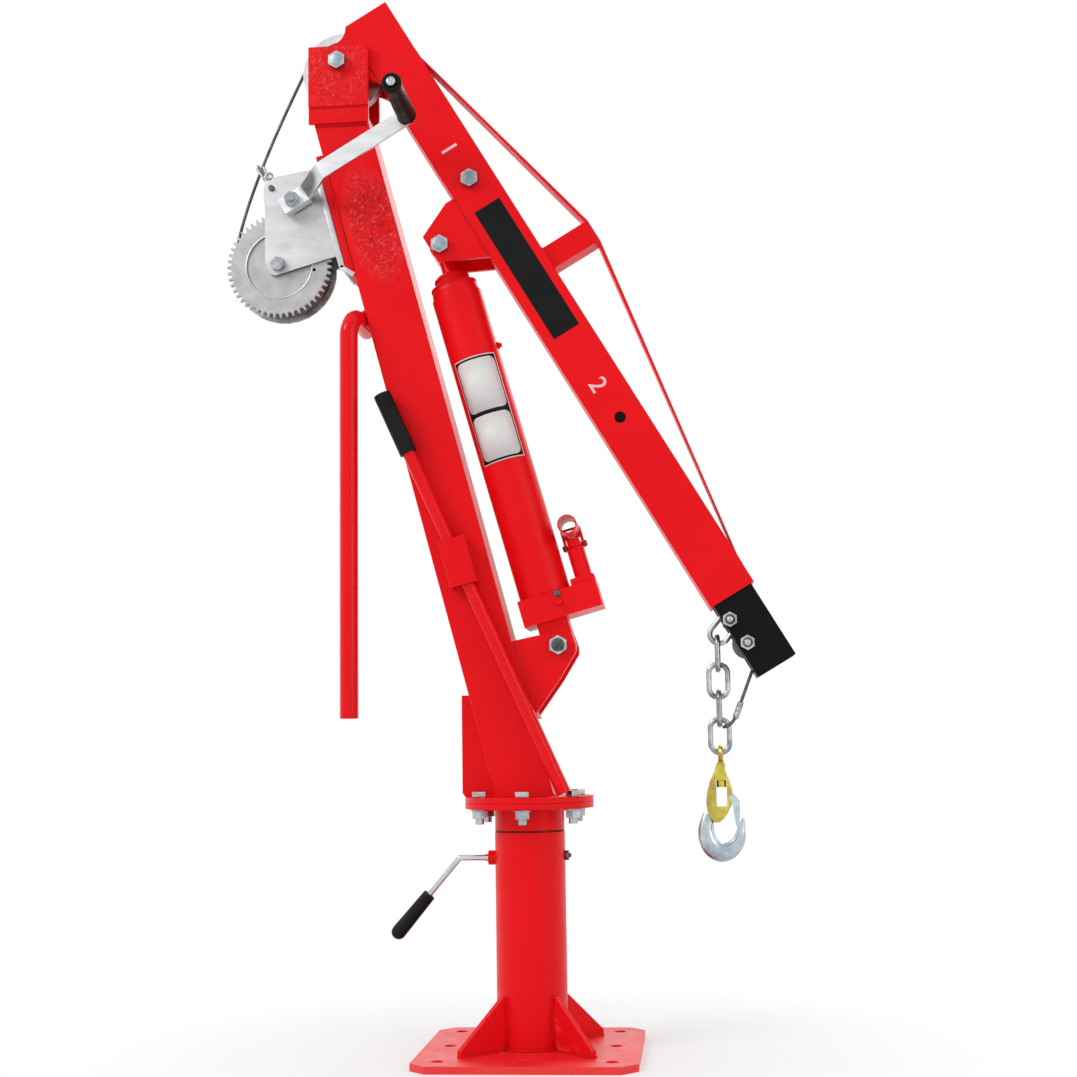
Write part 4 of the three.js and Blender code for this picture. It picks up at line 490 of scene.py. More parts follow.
def studio():
    scene = bpy.context.scene
    scene.view_settings.view_transform = "Standard"
    world = bpy.data.worlds.new("studio")
    scene.world = world
    world.use_nodes = True
    tree = world.node_tree
    ambient = tree.nodes["Background"]
    ambient.inputs["Color"].default_value = WHITE
    ambient.inputs["Strength"].default_value = AMBIENT
    backdrop = add(tree, "ShaderNodeBackground", Color=WHITE, Strength=1.0)
    mixed(tree, seen_directly(tree), ambient, backdrop, tree.nodes["World Output"].inputs["Surface"])
    for name, settings in LAMPS.items():
        area_light(name, *settings)


def studio_floor():
    mesh = bpy.data.meshes.new("studio_floor")
    grid = bmesh.new()
    bmesh.ops.create_grid(grid, x_segments=2, y_segments=2, size=FLOOR_HALF)
    grid.to_mesh(mesh)
    grid.free()
    floor = bpy.data.objects.new("studio_floor", mesh)
    bpy.context.scene.collection.objects.link(floor)
    material, tree, shader = new_finish("floor_white")
    shader.inputs["Base Color"].default_value = FLOOR_WHITE
    shader.inputs["Roughness"].default_value = FLOOR_ROUGHNESS
    glow = add(tree, "ShaderNodeEmission", Strength=1.0)
    coords = tree.nodes.new("ShaderNodeTexCoord")
    away = length_of(tree, coords.outputs["Object"])
    fade = remap(tree, away, SHADOW_CORE, SHADOW_EDGE, CORE_GLOW, 1.0)
    gate = times(tree, fade, seen_directly(tree))
    mixed(tree, gate, shader, glow, tree.nodes["Material Output"].inputs["Surface"])
    mesh.materials.append(material)


# Making pieces

SAME_VERT = 1e-6  # metres
CUT_GAP = 1e-7  # metres
LATHE_TURNS = {"Z": Matrix.Identity(4), "Y": Matrix.Rotation(math.radians(-90.0), 4, "X")}
BEAD_PITCH = 2.6
BEAD_SWELL = (1.12, 0.92, 0.92)
RING_POINTS = 48


def finish_piece(name, shape, material, body, place=GROUND, smooth=True):
    """A finished bmesh becomes a piece, with its place in its mesh. It rides on a body, if one is given."""
    bmesh.ops.transform(shape, matrix=place, verts=shape.verts)
    mesh = bpy.data.meshes.new(name)
    shape.to_mesh(mesh)
    shape.free()
    for face in mesh.polygons:
        face.use_smooth = smooth
    mesh.materials.append(material)
    piece = bpy.data.objects.new(name, mesh)
    bpy.context.scene.collection.objects.link(piece)
    if body:
        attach(piece, body)
    return piece


def lathe(profile, steps, axis="Z", centre=(0.0, 0.0, 0.0)):
    """A solid turned from a closed profile of (radius, height), about an axis through centre."""
    shape = bmesh.new()
    verts = [shape.verts.new((radius * MM, 0.0, height * MM)) for radius, height in profile]
    edges = [shape.edges.new(pair) for pair in zip(verts, verts[1:])]
    if profile[0][0] > 0.0 or profile[-1][0] > 0.0:
        edges.append(shape.edges.new((verts[-1], verts[0])))
    bmesh.ops.spin(shape, geom=verts + edges, cent=(0.0, 0.0, 0.0), axis=(0.0, 0.0, 1.0),
                   angle=FULL_TURN, steps=steps, use_merge=True)
    bmesh.ops.remove_doubles(shape, verts=shape.verts, dist=SAME_VERT)
    bmesh.ops.recalc_face_normals(shape, faces=shape.faces)
    place = Matrix.Translation(Vector(centre) * MM) @ LATHE_TURNS[axis]
    bmesh.ops.transform(shape, matrix=place, verts=shape.verts)
    return shape


def stud(radius, foot, top, cut, drop, steps):
    """A stud from foot to top. Its top edge is cut back by cut, from drop below the top."""
    return lathe([(0.0, foot), (radius, foot), (radius, top - drop), (radius - cut, top), (0.0, top)], steps)


def slab(size, centre, edge=0.0, segments=2):
    """A block of size about centre, with its edges rounded by edge."""
    shape = bmesh.new()
    bmesh.ops.create_cube(shape, size=1.0)
    bmesh.ops.scale(shape, vec=Vector(size) * MM, verts=shape.verts)
    if edge:
        bmesh.ops.bevel(shape, geom=shape.edges[:], offset=edge * MM, offset_type="OFFSET", affect="EDGES",
                        segments=segments, profile=0.5, material=-1)
    bmesh.ops.translate(shape, vec=Vector(centre) * MM, verts=shape.verts)
    return shape


def together(*shapes):
    """Several shapes in one."""
    whole = bmesh.new()
    for shape in shapes:
        mesh = bpy.data.meshes.new("part_of_a_piece")
        shape.to_mesh(mesh)
        shape.free()
        whole.from_mesh(mesh)
        bpy.data.meshes.remove(mesh)
    return whole


def shape_of(name, data):
    """What a curve or a text looks like as a mesh, as a bmesh."""
    maker = bpy.data.objects.new(name, data)
    bpy.context.scene.collection.objects.link(maker)
    bpy.context.view_layer.update()
    mesh = bpy.data.meshes.new_from_object(maker.evaluated_get(bpy.context.evaluated_depsgraph_get()))
    bpy.data.objects.remove(maker)
    shape = bmesh.new()
    shape.from_mesh(mesh)
    bpy.data.meshes.remove(mesh)
    return shape


def curve_shape(name, route, radius, cyclic=False, sizes=None, profile=None, tilts=None, sides=8):
    """A wire along route, in metres, round or with a profile curve."""
    data = bpy.data.curves.new(name, "CURVE")
    data.dimensions = "3D"
    data.use_fill_caps = True
    if profile:
        data.bevel_mode = "OBJECT"
        data.bevel_object = profile
    else:
        data.bevel_depth = radius
        data.bevel_resolution = max(0, sides // 4 - 1)
    spline = data.splines.new("POLY")
    spline.points.add(len(route) - 1)
    for i, point in enumerate(route):
        spline.points[i].co = (*point, 1.0)
        spline.points[i].radius = sizes[i] if sizes else 1.0
        spline.points[i].tilt = tilts[i] if tilts else 0.0
    spline.use_cyclic_u = cyclic
    return shape_of(name, data)


def stepped(route, step, cyclic=False):
    """Points every step or so along a route."""
    ends = route + [route[0]] if cyclic else route
    fine = []
    for start, end in zip(ends, ends[1:]):
        count = max(1, round((end - start).length / step))
        fine += [start.lerp(end, i / count) for i in range(count)]
    return fine if cyclic else fine + [route[-1]]


def weld_bead(points, radius, place=GROUND, cyclic=False):
    """A weld bead along points, swelling at every pitch where the metal was laid down."""
    swells = len(BEAD_SWELL)
    route = stepped([place @ (Vector(p) * MM) for p in points], BEAD_PITCH * MM / swells, cyclic)
    sizes = [BEAD_SWELL[i % swells] for i in range(len(route))]
    return curve_shape("bead", route, radius * MM, cyclic, sizes)


def ring(radius, height):
    angles = [FULL_TURN * i / RING_POINTS for i in range(RING_POINTS)]
    return [(radius * math.cos(angle), radius * math.sin(angle), height) for angle in angles]


# Weld beads: where each seam runs, and the bead's radius

FINE_BEAD = 1.8


def post_welds():
    """Round the post's foot, and along both sides of its four gussets."""
    foot = ring(radius=50.0, height=11.2)
    gusset_side, plate_seam, near, far = 5.0, 10.9, 62.0, 126.0
    post_seam, low, high = 49.0, 23.0, 80.0
    beads = [weld_bead(foot, 2.3, cyclic=True)]
    for quarter in range(4):
        turn = Matrix.Rotation(math.radians(45.0 + 90.0 * quarter), 4, "Z")
        for side in (-gusset_side, gusset_side):
            beads.append(weld_bead([(near, side, plate_seam), (far, side, plate_seam)], FINE_BEAD, turn))
            beads.append(weld_bead([(post_seam, side, low), (post_seam, side, high)], FINE_BEAD, turn))
    finish_piece("post_welds", together(*beads), BEAD_RED, "base")


def mast_back(height):
    return MAST_X - math.tan(MAST_LEAN) * (height - MAST_UP) - MAST_HALF / math.cos(MAST_LEAN)


def mast_front(height):
    return mast_back(height) + 2.0 * MAST_HALF / math.cos(MAST_LEAN)


def mast_welds():
    """Round the neck and the mast's foot, and along the rib, the head and what is welded to the mast."""
    neck = ring(radius=49.2, height=332.6)
    sole = 351.0
    sole_corners = ((-42.0, -39.6), (38.0, -39.6), (38.6, 39.6), (-42.0, 39.6))
    rib_back, rib_front, rib_sole = -90.0, -44.0, 350.9
    rib_low, rib_high = 354.0, 489.0
    head_top, head_seam = 1331.0, 1331.2
    plate_back, plate_front, plate_seam = -304.0, -221.0, 1356.4
    jack_low, jack_high = 462.0, 564.0
    winch_back, winch_low, winch_high = -39.8, 798.0, 975.0
    handle_back, handle_near, handle_far, handle_up, handle_reach = -41.6, -32.0, 29.0, 723.5, 9.5
    clip_seam, clip_half = 15.2, 32.0
    beads = [
        weld_bead(neck, 2.0, cyclic=True),
        weld_bead([(*corner, sole) for corner in sole_corners], 2.2, cyclic=True),
    ]
    for side in SIDES:
        rib = side * 5.2
        head = side * 39.8
        plate = side * 45.8
        jack = side * 36.6
        winch = side * 39.5
        clip = side * 19.6
        handle = handle_up + side * handle_reach
        beads += [
            weld_bead([(rib_back, rib, rib_sole), (rib_front, rib, rib_sole)], FINE_BEAD),
            weld_bead([(mast_back(up) - 0.4, rib, up) for up in (rib_low, rib_high)], FINE_BEAD),
            weld_bead([(mast_back(head_top) + 1.0, head, head_seam),
                       (mast_front(head_top) - 1.0, head, head_seam)], 2.4),
            weld_bead([(plate_back, plate, plate_seam), (plate_front, plate, plate_seam)], 1.7),
            weld_bead([(mast_front(up) + 0.5, jack, up) for up in (jack_low, jack_high)], 2.0),
            weld_bead([(winch_back, winch, winch_low), (winch_back, winch, winch_high)], 2.2, MAST),
            weld_bead([(handle_back, handle_near, handle), (handle_back, handle_far, handle)], 2.4, MAST),
            weld_bead([(clip, clip_seam, -clip_half), (clip, clip_seam, clip_half)], 1.6, CLIP),
        ]
    finish_piece("mast_welds", together(*beads), BEAD_RED, "mast")


def boom_welds():
    """At the truss bar's ends and round its post, on the boom's roof, and along the lugs under it."""
    roof, bar_side, bar_end, ends = 108.3, 16.2, 15.0, (36.8, 937.2)
    bar_seams = ((40.0, 52.0), (922.0, 935.0))
    post_corners = ((396.4, -17.8), (432.6, -17.8), (432.6, 17.8), (396.4, 17.8))
    wall, lug_seam, lugs = 35.0, 37.6, ((-44.0, 57.0), (270.0, 369.0))
    beads = [weld_bead([(end, -bar_end, roof), (end, bar_end, roof)], FINE_BEAD, BOOM) for end in ends]
    beads.append(weld_bead([(*corner, roof) for corner in post_corners], 1.9, BOOM, cyclic=True))
    for side in SIDES:
        for start, end in lugs:
            beads.append(weld_bead([(start, side * wall, lug_seam), (end, side * wall, lug_seam)], 1.5, BOOM))
        for start, end in bar_seams:
            beads.append(weld_bead([(start, side * bar_side, roof), (end, side * bar_side, roof)], 1.6, BOOM))
    finish_piece("boom_welds", together(*beads), BEAD_RED, "boom")


# Rope: laid strands along the same routes as the solids

ROPE_RADIUS = 2.4
ROPE_STEP = 1.6
ROPE_LAY = 30.0
STRANDS = 6
STRAND_POINTS = 24
STRAND_DEPTH = 0.15  # of the rope's radius
DRUM_X = -143.8
DRUM_UP = 837.9
COIL_RADIUS = 68.0
COIL_PITCH = 5.5
COIL_TURNS = 6
COIL_POINTS = 48
COIL_START_Y = -23.0
SHEAVE_SEAT = 57.5
LEAD_ANGLE = math.radians(179.9446)
SEAT_ANGLE = math.radians(154.9446)
LEAD = Vector((math.sin(LEAD_ANGLE), 0.0, -math.cos(LEAD_ANGLE))) * MM
LEAD_GAP = 0.8
BOW_STEPS = 24
BOOM_TOP = math.pi / 2.0 - BOOM_SLOPE  # the way the boom's roof looks
BOOM_ROPE_START = 2.7
TIP_SEAT = 19.2
TIP_CENTRE = (1037.8, 0.0, 55.2)
TIP_STEPS = 12
LOOP_LEAN = math.radians(19.0)
LOOP_RADIUS = 7.0
LOOP_POINTS = 32
LOOP_CENTRE = Vector((0.28097, 0.0, 0.44398))  # metres
EYE_RISE = 9.0
TAIL_STRETCH = 35.0  # seven sixths of a lay, so the strands run on from stretch to stretch
TAIL_STEPS = 8
TAIL_BODIES = ("extension", "link_a", "link_b", "chain_low")
FERRULE_LAP = 1.6
FERRULE_FLATNESS = 0.7
FERRULE_OUTLINE = [
    (0.0, 0.0), (4.6, 0.0), (5.9, 1.2), (6.3, 3.0), (6.3, 8.2), (5.8, 9.2), (6.3, 10.2), (6.3, 15.4),
    (5.8, 16.4), (6.3, 17.4), (6.3, 21.8), (5.8, 23.8), (4.2, 25.0), (0.0, 25.0),
]

# Where the rope leaves the tip pulley and meets the eye in the chain
TIP = BOOM @ (Vector(TIP_CENTRE) * MM)
LOOP_OUT = Vector((math.cos(LOOP_LEAN), 0.0, math.sin(LOOP_LEAN)))
LOOP_EDGE = LOOP_CENTRE + LOOP_OUT * LOOP_RADIUS * MM
DOWN_ROPE = LOOP_EDGE - TIP
LEAVE = math.atan2(DOWN_ROPE.z, DOWN_ROPE.x) + math.acos(TIP_SEAT * MM / DOWN_ROPE.length)
OFF_PULLEY = TIP + Vector((math.cos(LEAVE), 0.0, math.sin(LEAVE))) * TIP_SEAT * MM
UP_ROPE = (OFF_PULLEY - LOOP_EDGE).normalized()
EYE_TOP = LOOP_EDGE + UP_ROPE * EYE_RISE * MM


def strand_profile():
    """The strands seen end on."""
    data = bpy.data.curves.new("strands", "CURVE")
    spline = data.splines.new("POLY")
    spline.points.add(STRAND_POINTS - 1)
    for i in range(STRAND_POINTS):
        angle = FULL_TURN * i / STRAND_POINTS
        bulge = STRAND_DEPTH * abs(math.cos(STRANDS / 2.0 * angle))
        radius = ROPE_RADIUS * MM * (1.0 - STRAND_DEPTH + bulge)
        spline.points[i].co = (radius * math.cos(angle), radius * math.sin(angle), 0.0, 1.0)
    spline.use_cyclic_u = True
    profile = bpy.data.objects.new("strands", data)
    bpy.context.scene.collection.objects.link(profile)
    return profile


def laid_rope(name, route, body, node, cyclic=False):
    """A rope along route, in place of a CAD node if one is given."""
    step = ROPE_STEP * MM
    fine = stepped(route, step, cyclic)
    tilts = [FULL_TURN * i * step / (ROPE_LAY * MM) for i in range(len(fine))]
    profile = strand_profile()
    shape = curve_shape(name, fine, ROPE_RADIUS * MM, cyclic, profile=profile, tilts=tilts)
    bpy.data.objects.remove(profile)
    piece = finish_piece(name, shape, FINISHES["rope_steel"], body)
    if node:
        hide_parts(node)
    return piece


def coil_route():
    """The winding on the drum, with a short lead at each end."""
    route = []
    for i in range(COIL_TURNS * COIL_POINTS + 1):
        angle = LEAD_ANGLE - MAST_LEAN + FULL_TURN * i / COIL_POINTS
        across = COIL_START_Y + COIL_PITCH * i / COIL_POINTS
        spot = (DRUM_X + COIL_RADIUS * math.cos(angle), across, DRUM_UP + COIL_RADIUS * math.sin(angle))
        route.append(MAST @ (Vector(spot) * MM))
    lead = LEAD * 2.0 * ROPE_RADIUS
    return [route[0] + lead] + route + [route[-1] - lead]


def arc(centre, radius, start, end, count):
    """An upright arc about centre from start to end, in metres."""
    return [centre + Vector((radius * math.cos(a), 0.0, radius * math.sin(a)))
            for a in (start + (end - start) * i / count for i in range(count + 1))]


def run_route():
    """In a soft bow from the drum to the head sheave, and over it."""
    start = coil_route()[0] + LEAD * LEAD_GAP
    over = arc(PIVOT, SHEAVE_SEAT * MM, SEAT_ANGLE, BOOM_TOP, BOW_STEPS)
    rise = (start.x - over[0].x) / math.tan(SEAT_ANGLE - math.pi)
    control = Vector((start.x, start.y / 2.0, over[0].z - rise))
    climb = [start * (1 - t) ** 2 + control * 2 * t * (1 - t) + over[0] * t ** 2
             for t in (i / BOW_STEPS for i in range(BOW_STEPS))]
    return climb + over


def boom_route():
    """From the head sheave through the boom, and round the tip pulley."""
    start = BOOM @ (Vector((BOOM_ROPE_START, 0.0, SHEAVE_SEAT)) * MM)
    return [start] + arc(TIP, TIP_SEAT * MM, BOOM_TOP, LEAVE, TIP_STEPS)


def eye_route():
    """A loop about the link, drawn out towards the ferrule."""
    route = []
    for i in range(LOOP_POINTS):
        angle = FULL_TURN * i / LOOP_POINTS
        flat = LOOP_OUT * math.cos(angle) + Vector((0.0, 1.0, 0.0)) * math.sin(angle)
        drawn = UP_ROPE * EYE_RISE * MM * max(0.0, math.cos(angle)) ** 2
        route.append(LOOP_CENTRE + flat * LOOP_RADIUS * MM + drawn)
    return route


def rope_end():
    """The rope's last straight, in stretches, its pressed ferrule and its eye."""
    stretches = []
    down = EYE_TOP - OFF_PULLEY
    marks = [0.0, TAIL_STRETCH, 2.0 * TAIL_STRETCH, down.length / MM]
    for near, far, above, below in zip(marks, marks[1:], TAIL_BODIES, TAIL_BODIES[1:]):
        route = [OFF_PULLEY + down.normalized() * MM * (near + (far - near) * i / TAIL_STEPS)
                 for i in range(TAIL_STEPS + 1)]
        piece = laid_rope("rope_to_chain_" + str(len(stretches) + 1), route, None, "rope_tail")
        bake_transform(piece)
        stretches.append((piece, route))
    eye = laid_rope("rope_eye", eye_route(), "chain_low", None, cyclic=True)
    turn = UP_ROPE.to_track_quat("Z", "Y").to_matrix().to_4x4()
    place = Matrix.Translation(EYE_TOP - UP_ROPE * FERRULE_LAP * MM) @ turn
    pressed = lathe(FERRULE_OUTLINE, steps=32)
    bmesh.ops.scale(pressed, vec=(1.0, FERRULE_FLATNESS, 1.0), verts=pressed.verts)
    sleeve = finish_piece("rope_ferrule", pressed, FERRULE_ALLOY, "chain_low", place)


def ropes():
    laid_rope("rope_coil", coil_route(), "drum", "rope_winding")
    laid_rope("rope_over_sheave", run_route(), "mast", "rope_run")
    laid_rope("rope_in_boom", boom_route(), "extension", "rope_boom")
    rope_end()


# Small fittings

TOWARDS_VIEWER = (0.0, -1.0, 0.0)
FORWARD = (1.0, 0.0, 0.0)
DOME_SHARES = ((0.0, 0.0), (1.0, 0.0), (0.97, 0.45), (0.75, 0.8), (0.4, 0.97), (0.0, 1.0))
SLOT_REACH = 0.9  # the floor of a screw's slot, of its radius
SLOT_FLOOR = 0.3  # and of its height


def domed_screw(radius, height, slot):
    """A round screw head with a slot across it: two cut halves of a dome on a low disc."""
    pieces = []
    for side in SIDES:
        dome = lathe([(out * radius, up * height) for out, up in DOME_SHARES], steps=32)
        geometry = dome.verts[:] + dome.edges[:] + dome.faces[:]
        bmesh.ops.bisect_plane(dome, geom=geometry, dist=CUT_GAP, plane_co=(side * slot / 2.0 * MM, 0.0, 0.0),
                               plane_no=(side, 0.0, 0.0), clear_inner=True)
        bmesh.ops.holes_fill(dome, edges=[edge for edge in dome.edges if edge.is_boundary], sides=0)
        pieces.append(dome)
    reach = SLOT_REACH * radius
    up = SLOT_FLOOR * height
    pieces.append(lathe([(0.0, 0.0), (reach, 0.0), (reach, up), (0.0, up)], steps=32))
    return together(*pieces)


def facing(place, point, way):
    """A place at point, in another place's axes, whose Z looks along way."""
    turn = Vector(way).to_track_quat("Z", "Y").to_matrix().to_4x4()
    return place @ Matrix.Translation(Vector(point) * MM) @ turn


CRANK_REACH = 204.0
CRANK_SCREW_Y = -216.6
LIP_SIZE = (41.0, 11.5, 2.4)
LIP_X = 2.5
LIP_Y = -45.1
LIP_HALF = 11.2
GRIP_OUTLINE = [
    (5.7, -213.2), (11.6, -213.3), (13.5, -212.5), (14.3, -210.8), (14.3, -207.8), (13.3, -204.6),
    (12.5, -198.0), (12.3, -184.0), (12.8, -162.0), (13.4, -138.0), (13.5, -118.0), (13.0, -106.0),
    (13.3, -101.0), (14.1, -97.6), (14.3, -95.4), (13.4, -93.6), (5.7, -93.4),
]


def crank_fittings():
    """The turned grip with its end screw, and the lips of the strip's sides beside its hub."""
    grip = lathe(GRIP_OUTLINE, steps=48, axis="Y", centre=(CRANK_REACH, 0.0, 0.0))
    piece = finish_piece("crank_grip_turned", grip, GRIP_PLASTIC, "grip", CRANK)
    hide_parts("crank_grip")
    screw = domed_screw(radius=6.3, height=2.0, slot=1.5)
    finish_piece("crank_screw", screw, FINISHES["zinc"], "pinion",
                 facing(CRANK, (CRANK_REACH, CRANK_SCREW_Y, 0.0), TOWARDS_VIEWER))
    lips = [slab(LIP_SIZE, (LIP_X, LIP_Y, side * LIP_HALF), edge=0.5) for side in SIDES]
    finish_piece("crank_lips", together(*lips), STRIP_ZINC, "pinion", CRANK)


GLAND_OUTLINE = [
    (15.8, 533.6), (34.4, 533.6), (34.6, 541.0), (33.6, 548.0), (31.0, 553.2), (28.0, 555.6),
    (25.0, 556.6), (24.6, 562.0), (23.4, 566.2), (20.6, 568.8), (15.8, 569.6),
]
PLUG_HEXAGON = [(0.0, 0.0), (5.6, 0.0), (5.6, 2.6), (0.0, 2.6)]
PLUG_PLACE = (36.7, 0.0, 446.6)
VALVE_PLACE = (18.8, -38.0, 70.0)
JACK_RINGS = ((37.6, 75.4, 1.7), (32.0, 550.4, 2.4), (23.6, 562.6, 2.6))  # radius, height, bead


def jack_fittings():
    """The jack's gland cap, the bleed plug on its barrel, the valve's cap on its base, and its beads."""
    red = FINISHES["red_paint"]
    finish_piece("gland_cap", lathe(GLAND_OUTLINE, steps=56), red, "jack_body", JACK)
    plug = together(lathe(PLUG_HEXAGON, steps=6),
                    stud(radius=3.4, foot=2.4, top=6.2, cut=0.8, drop=0.8, steps=24))
    finish_piece("bleed_plug", plug, red, "jack_body", facing(JACK, PLUG_PLACE, FORWARD))
    cap = domed_screw(radius=5.2, height=2.6, slot=1.2)
    finish_piece("valve_cap", cap, FINISHES["dark_steel"], "jack_body",
                 facing(JACK, VALVE_PLACE, TOWARDS_VIEWER))
    beads = [weld_bead(ring(radius, up), bead, JACK, cyclic=True) for radius, up, bead in JACK_RINGS]
    finish_piece("jack_weld", together(*beads), BEAD_RED, "jack_body")


PIN_CAP_OUTLINE = [(0.0, 0.0), (4.4, 0.0), (4.6, 0.8), (4.4, 2.6), (3.2, 3.2), (0.0, 3.2)]
PIN_X = 60.0
PIN_HALF = 15.0
PIN_Y = 18.0
PIN_UP = 134.0


def pump_fittings():
    """The foot under the pump's barrel, and the caps of the pin through its link."""
    block = slab(size=(35.0, 44.0, 12.0), centre=(58.0, -2.0, 79.5), edge=2.5, segments=3)
    finish_piece("pump_foot", block, FINISHES["red_paint"], "jack_body", JACK)
    caps = []
    for side in SIDES:
        cap = lathe(PIN_CAP_OUTLINE, steps=24)
        place = facing(GROUND, (PIN_X + side * PIN_HALF, PIN_Y, PIN_UP), (side, 0.0, 0.0))
        bmesh.ops.transform(cap, matrix=place, verts=cap.verts)
        caps.append(cap)
    finish_piece("link_pin_caps", together(*caps), FINISHES["dark_steel"], "socket", JACK)


RIM_OUTLINE = [(48.2, -31.9), (48.7, -32.6), (50.2, -32.6), (50.7, -31.9)]
EYE_OUTLINE = [(3.6, -36.0), (6.3, -36.0), (6.9, -35.4), (6.9, -33.6), (6.3, -33.0), (3.6, -33.0)]
EYE_CENTRE = (-124.5, 0.0, 971.7)
STRAP_X = -54.2
STRAP_Y = -40.6
STRAP_UP = 874.0
STRAP_SIZE = (8.2, 2.2, 142.0)
STRAP_ROUND = 0.6
TAB_SIZE = (7.4, 2.2, 24.0)
TAB_CENTRE = (0.0, 0.0, -9.0)
TAB_UP = 804.0
TAB_TURN = -0.72
PRONG_RADIUS = 2.4
PRONG_ROUTES = (
    [(-129.0, -17.0, 958.0), (-134.0, -17.0, 976.0), (-141.4, -17.0, 996.5)],
    [(-125.5, -17.0, 958.0), (-128.6, -17.0, 977.0), (-131.6, -17.0, 996.5)],
)


def winch_fittings():
    """The gear's pressed rim, the strap and eye on the winch's frame, and the pawl's prongs."""
    rim = lathe(RIM_OUTLINE, steps=96, axis="Y", centre=(DRUM_X, 0.0, DRUM_UP))
    finish_piece("gear_rim", rim, SHEET_ZINC, "drum", MAST)
    strip = slab(STRAP_SIZE, (STRAP_X, STRAP_Y, STRAP_UP), STRAP_ROUND)
    tab = slab(TAB_SIZE, TAB_CENTRE, STRAP_ROUND)
    tab_top = Vector((STRAP_X, STRAP_Y, TAB_UP)) * MM
    bmesh.ops.transform(tab, matrix=Matrix.Translation(tab_top) @ Matrix.Rotation(TAB_TURN, 4, "Y"),
                        verts=tab.verts)
    finish_piece("winch_strap", together(strip, tab), SHEET_ZINC, "mast", MAST)
    eye = lathe(EYE_OUTLINE, steps=32, axis="Y", centre=EYE_CENTRE)
    finish_piece("frame_eye", eye, FINISHES["zinc"], "mast", MAST)
    prongs = []
    for points in PRONG_ROUTES:
        route = [MAST @ (Vector(point) * MM) for point in points]
        prongs.append(curve_shape("prong", route, PRONG_RADIUS * MM, sides=16))
    finish_piece("pawl_prongs", together(*prongs), SHEET_ZINC, "pawl")


HOOK_LINE = [  # across, up and half-width of the forging
    (-18.6, 322.0, 7.6), (-21.4, 312.0, 9.4), (-23.0, 300.0, 11.0), (-21.2, 287.6, 12.2),
    (-14.6, 275.8, 13.0), (-2.6, 269.9, 13.2), (10.0, 272.6, 11.6), (19.8, 281.6, 9.0),
    (24.6, 293.0, 6.8), (26.4, 303.0, 4.8), (28.2, 312.0, 2.8), (29.0, 315.6, 1.0),
]
HOOK_STEPS = 10
HOOK_FLATNESS = 0.6
RIM_FIRST = 12  # the raised rim starts and ends within the forging's line
RIM_LAST = -14
RIM_IN = 0.8  # of the half-width
RIM_RADIUS = 2.5
RIM_WIDENED = 2.6


def smoothed(points, count):
    """A soft line through points, count steps to each."""
    line = []
    last = len(points) - 1
    for i in range(last):
        around = [points[max(i - 1, 0)], points[i], points[i + 1], points[min(i + 2, last)]]
        for t in (k / count for k in range(count)):
            line.append([0.5 * (2 * b + (c - a) * t + (2 * a - 5 * b + 4 * c - d) * t ** 2
                                + (3 * b - a - 3 * c + d) * t ** 3) for a, b, c, d in zip(*around)])
    return line + [list(points[-1])]


def forged_hook():
    """The hook's bowl and point, with a raised rim along its inner side."""
    line = smoothed(HOOK_LINE, HOOK_STEPS)
    body = curve_shape("hook_body_line", [Vector((x, 0.0, z)) * MM for x, z, _ in line], MM,
                       sizes=[half for _, _, half in line], sides=28)
    bmesh.ops.scale(body, vec=(1.0, HOOK_FLATNESS, 1.0), verts=body.verts)
    inner = []
    for (x, z, half), ahead in zip(line[RIM_FIRST:RIM_LAST], line[RIM_FIRST + 1:]):
        way = Vector((ahead[0] - x, ahead[1] - z)).normalized()
        inner.append(Vector((x - way.y * RIM_IN * half, 0.0, z + way.x * RIM_IN * half)) * MM)
    rim = curve_shape("hook_rim_line", inner, RIM_RADIUS * MM, sides=16)
    bmesh.ops.scale(rim, vec=(1.0, RIM_WIDENED, 1.0), verts=rim.verts)
    piece = finish_piece("hook_forging", together(body, rim), HOOK_STEEL, "hook_swung", HOOK)
    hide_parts("hook")


BOLT_FACES = {  # radius of the round face, radius of the screw's end or 0 for none, finish
    "jack_lower_bolt": (9.4, 0.0, DARK_FACE),
    "chain_bolt": (7.2, 4.4, DARK_FACE),
    "tip_bolt": (7.2, 4.4, DARK_FACE),
    "jack_upper_bolt": (9.8, 0.0, BLUE_FACE),
    "boom_lock_bolt": (9.8, 0.0, BLUE_FACE),
    "boom_pivot_bolt": (9.8, 0.0, BLUE_FACE),
}


def body_of_node(name):
    return next(body for body, empty in frame["bodies"].items() if empty == NODES[name].parent)


def bolt_faces():
    """A raised round face on the near side of each large bolt, with a screw's end on two of them."""
    for name, (reach, end_radius, look) in BOLT_FACES.items():
        low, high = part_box(name)
        centre = ((low[0] + high[0]) / 2.0 / MM, low[1] / MM, (low[2] + high[2]) / 2.0 / MM)
        place = facing(GROUND, centre, TOWARDS_VIEWER)
        face = stud(reach, foot=-0.2, top=0.3, cut=0.4, drop=0.15, steps=32)
        finish_piece(name + "_face", face, look, body_of_node(name), place)
        if end_radius:
            end = stud(end_radius, foot=0.0, top=2.1, cut=0.7, drop=0.7, steps=24)
            finish_piece(name + "_end", end, FINISHES["zinc"], body_of_node(name), place)


GREASE_PLACE = (48.6, 0.0, 268.0)


def post_fittings():
    """A hexagon plug on the post's side, with a stud on it."""
    screw = together(stud(radius=7.5, foot=0.0, top=5.6, cut=0.6, drop=0.6, steps=6),
                     stud(radius=3.0, foot=5.5, top=9.0, cut=0.6, drop=0.6, steps=24))
    finish_piece("grease_plug", screw, FINISHES["dark_steel"], "base",
                 facing(GROUND, GREASE_PLACE, FORWARD))


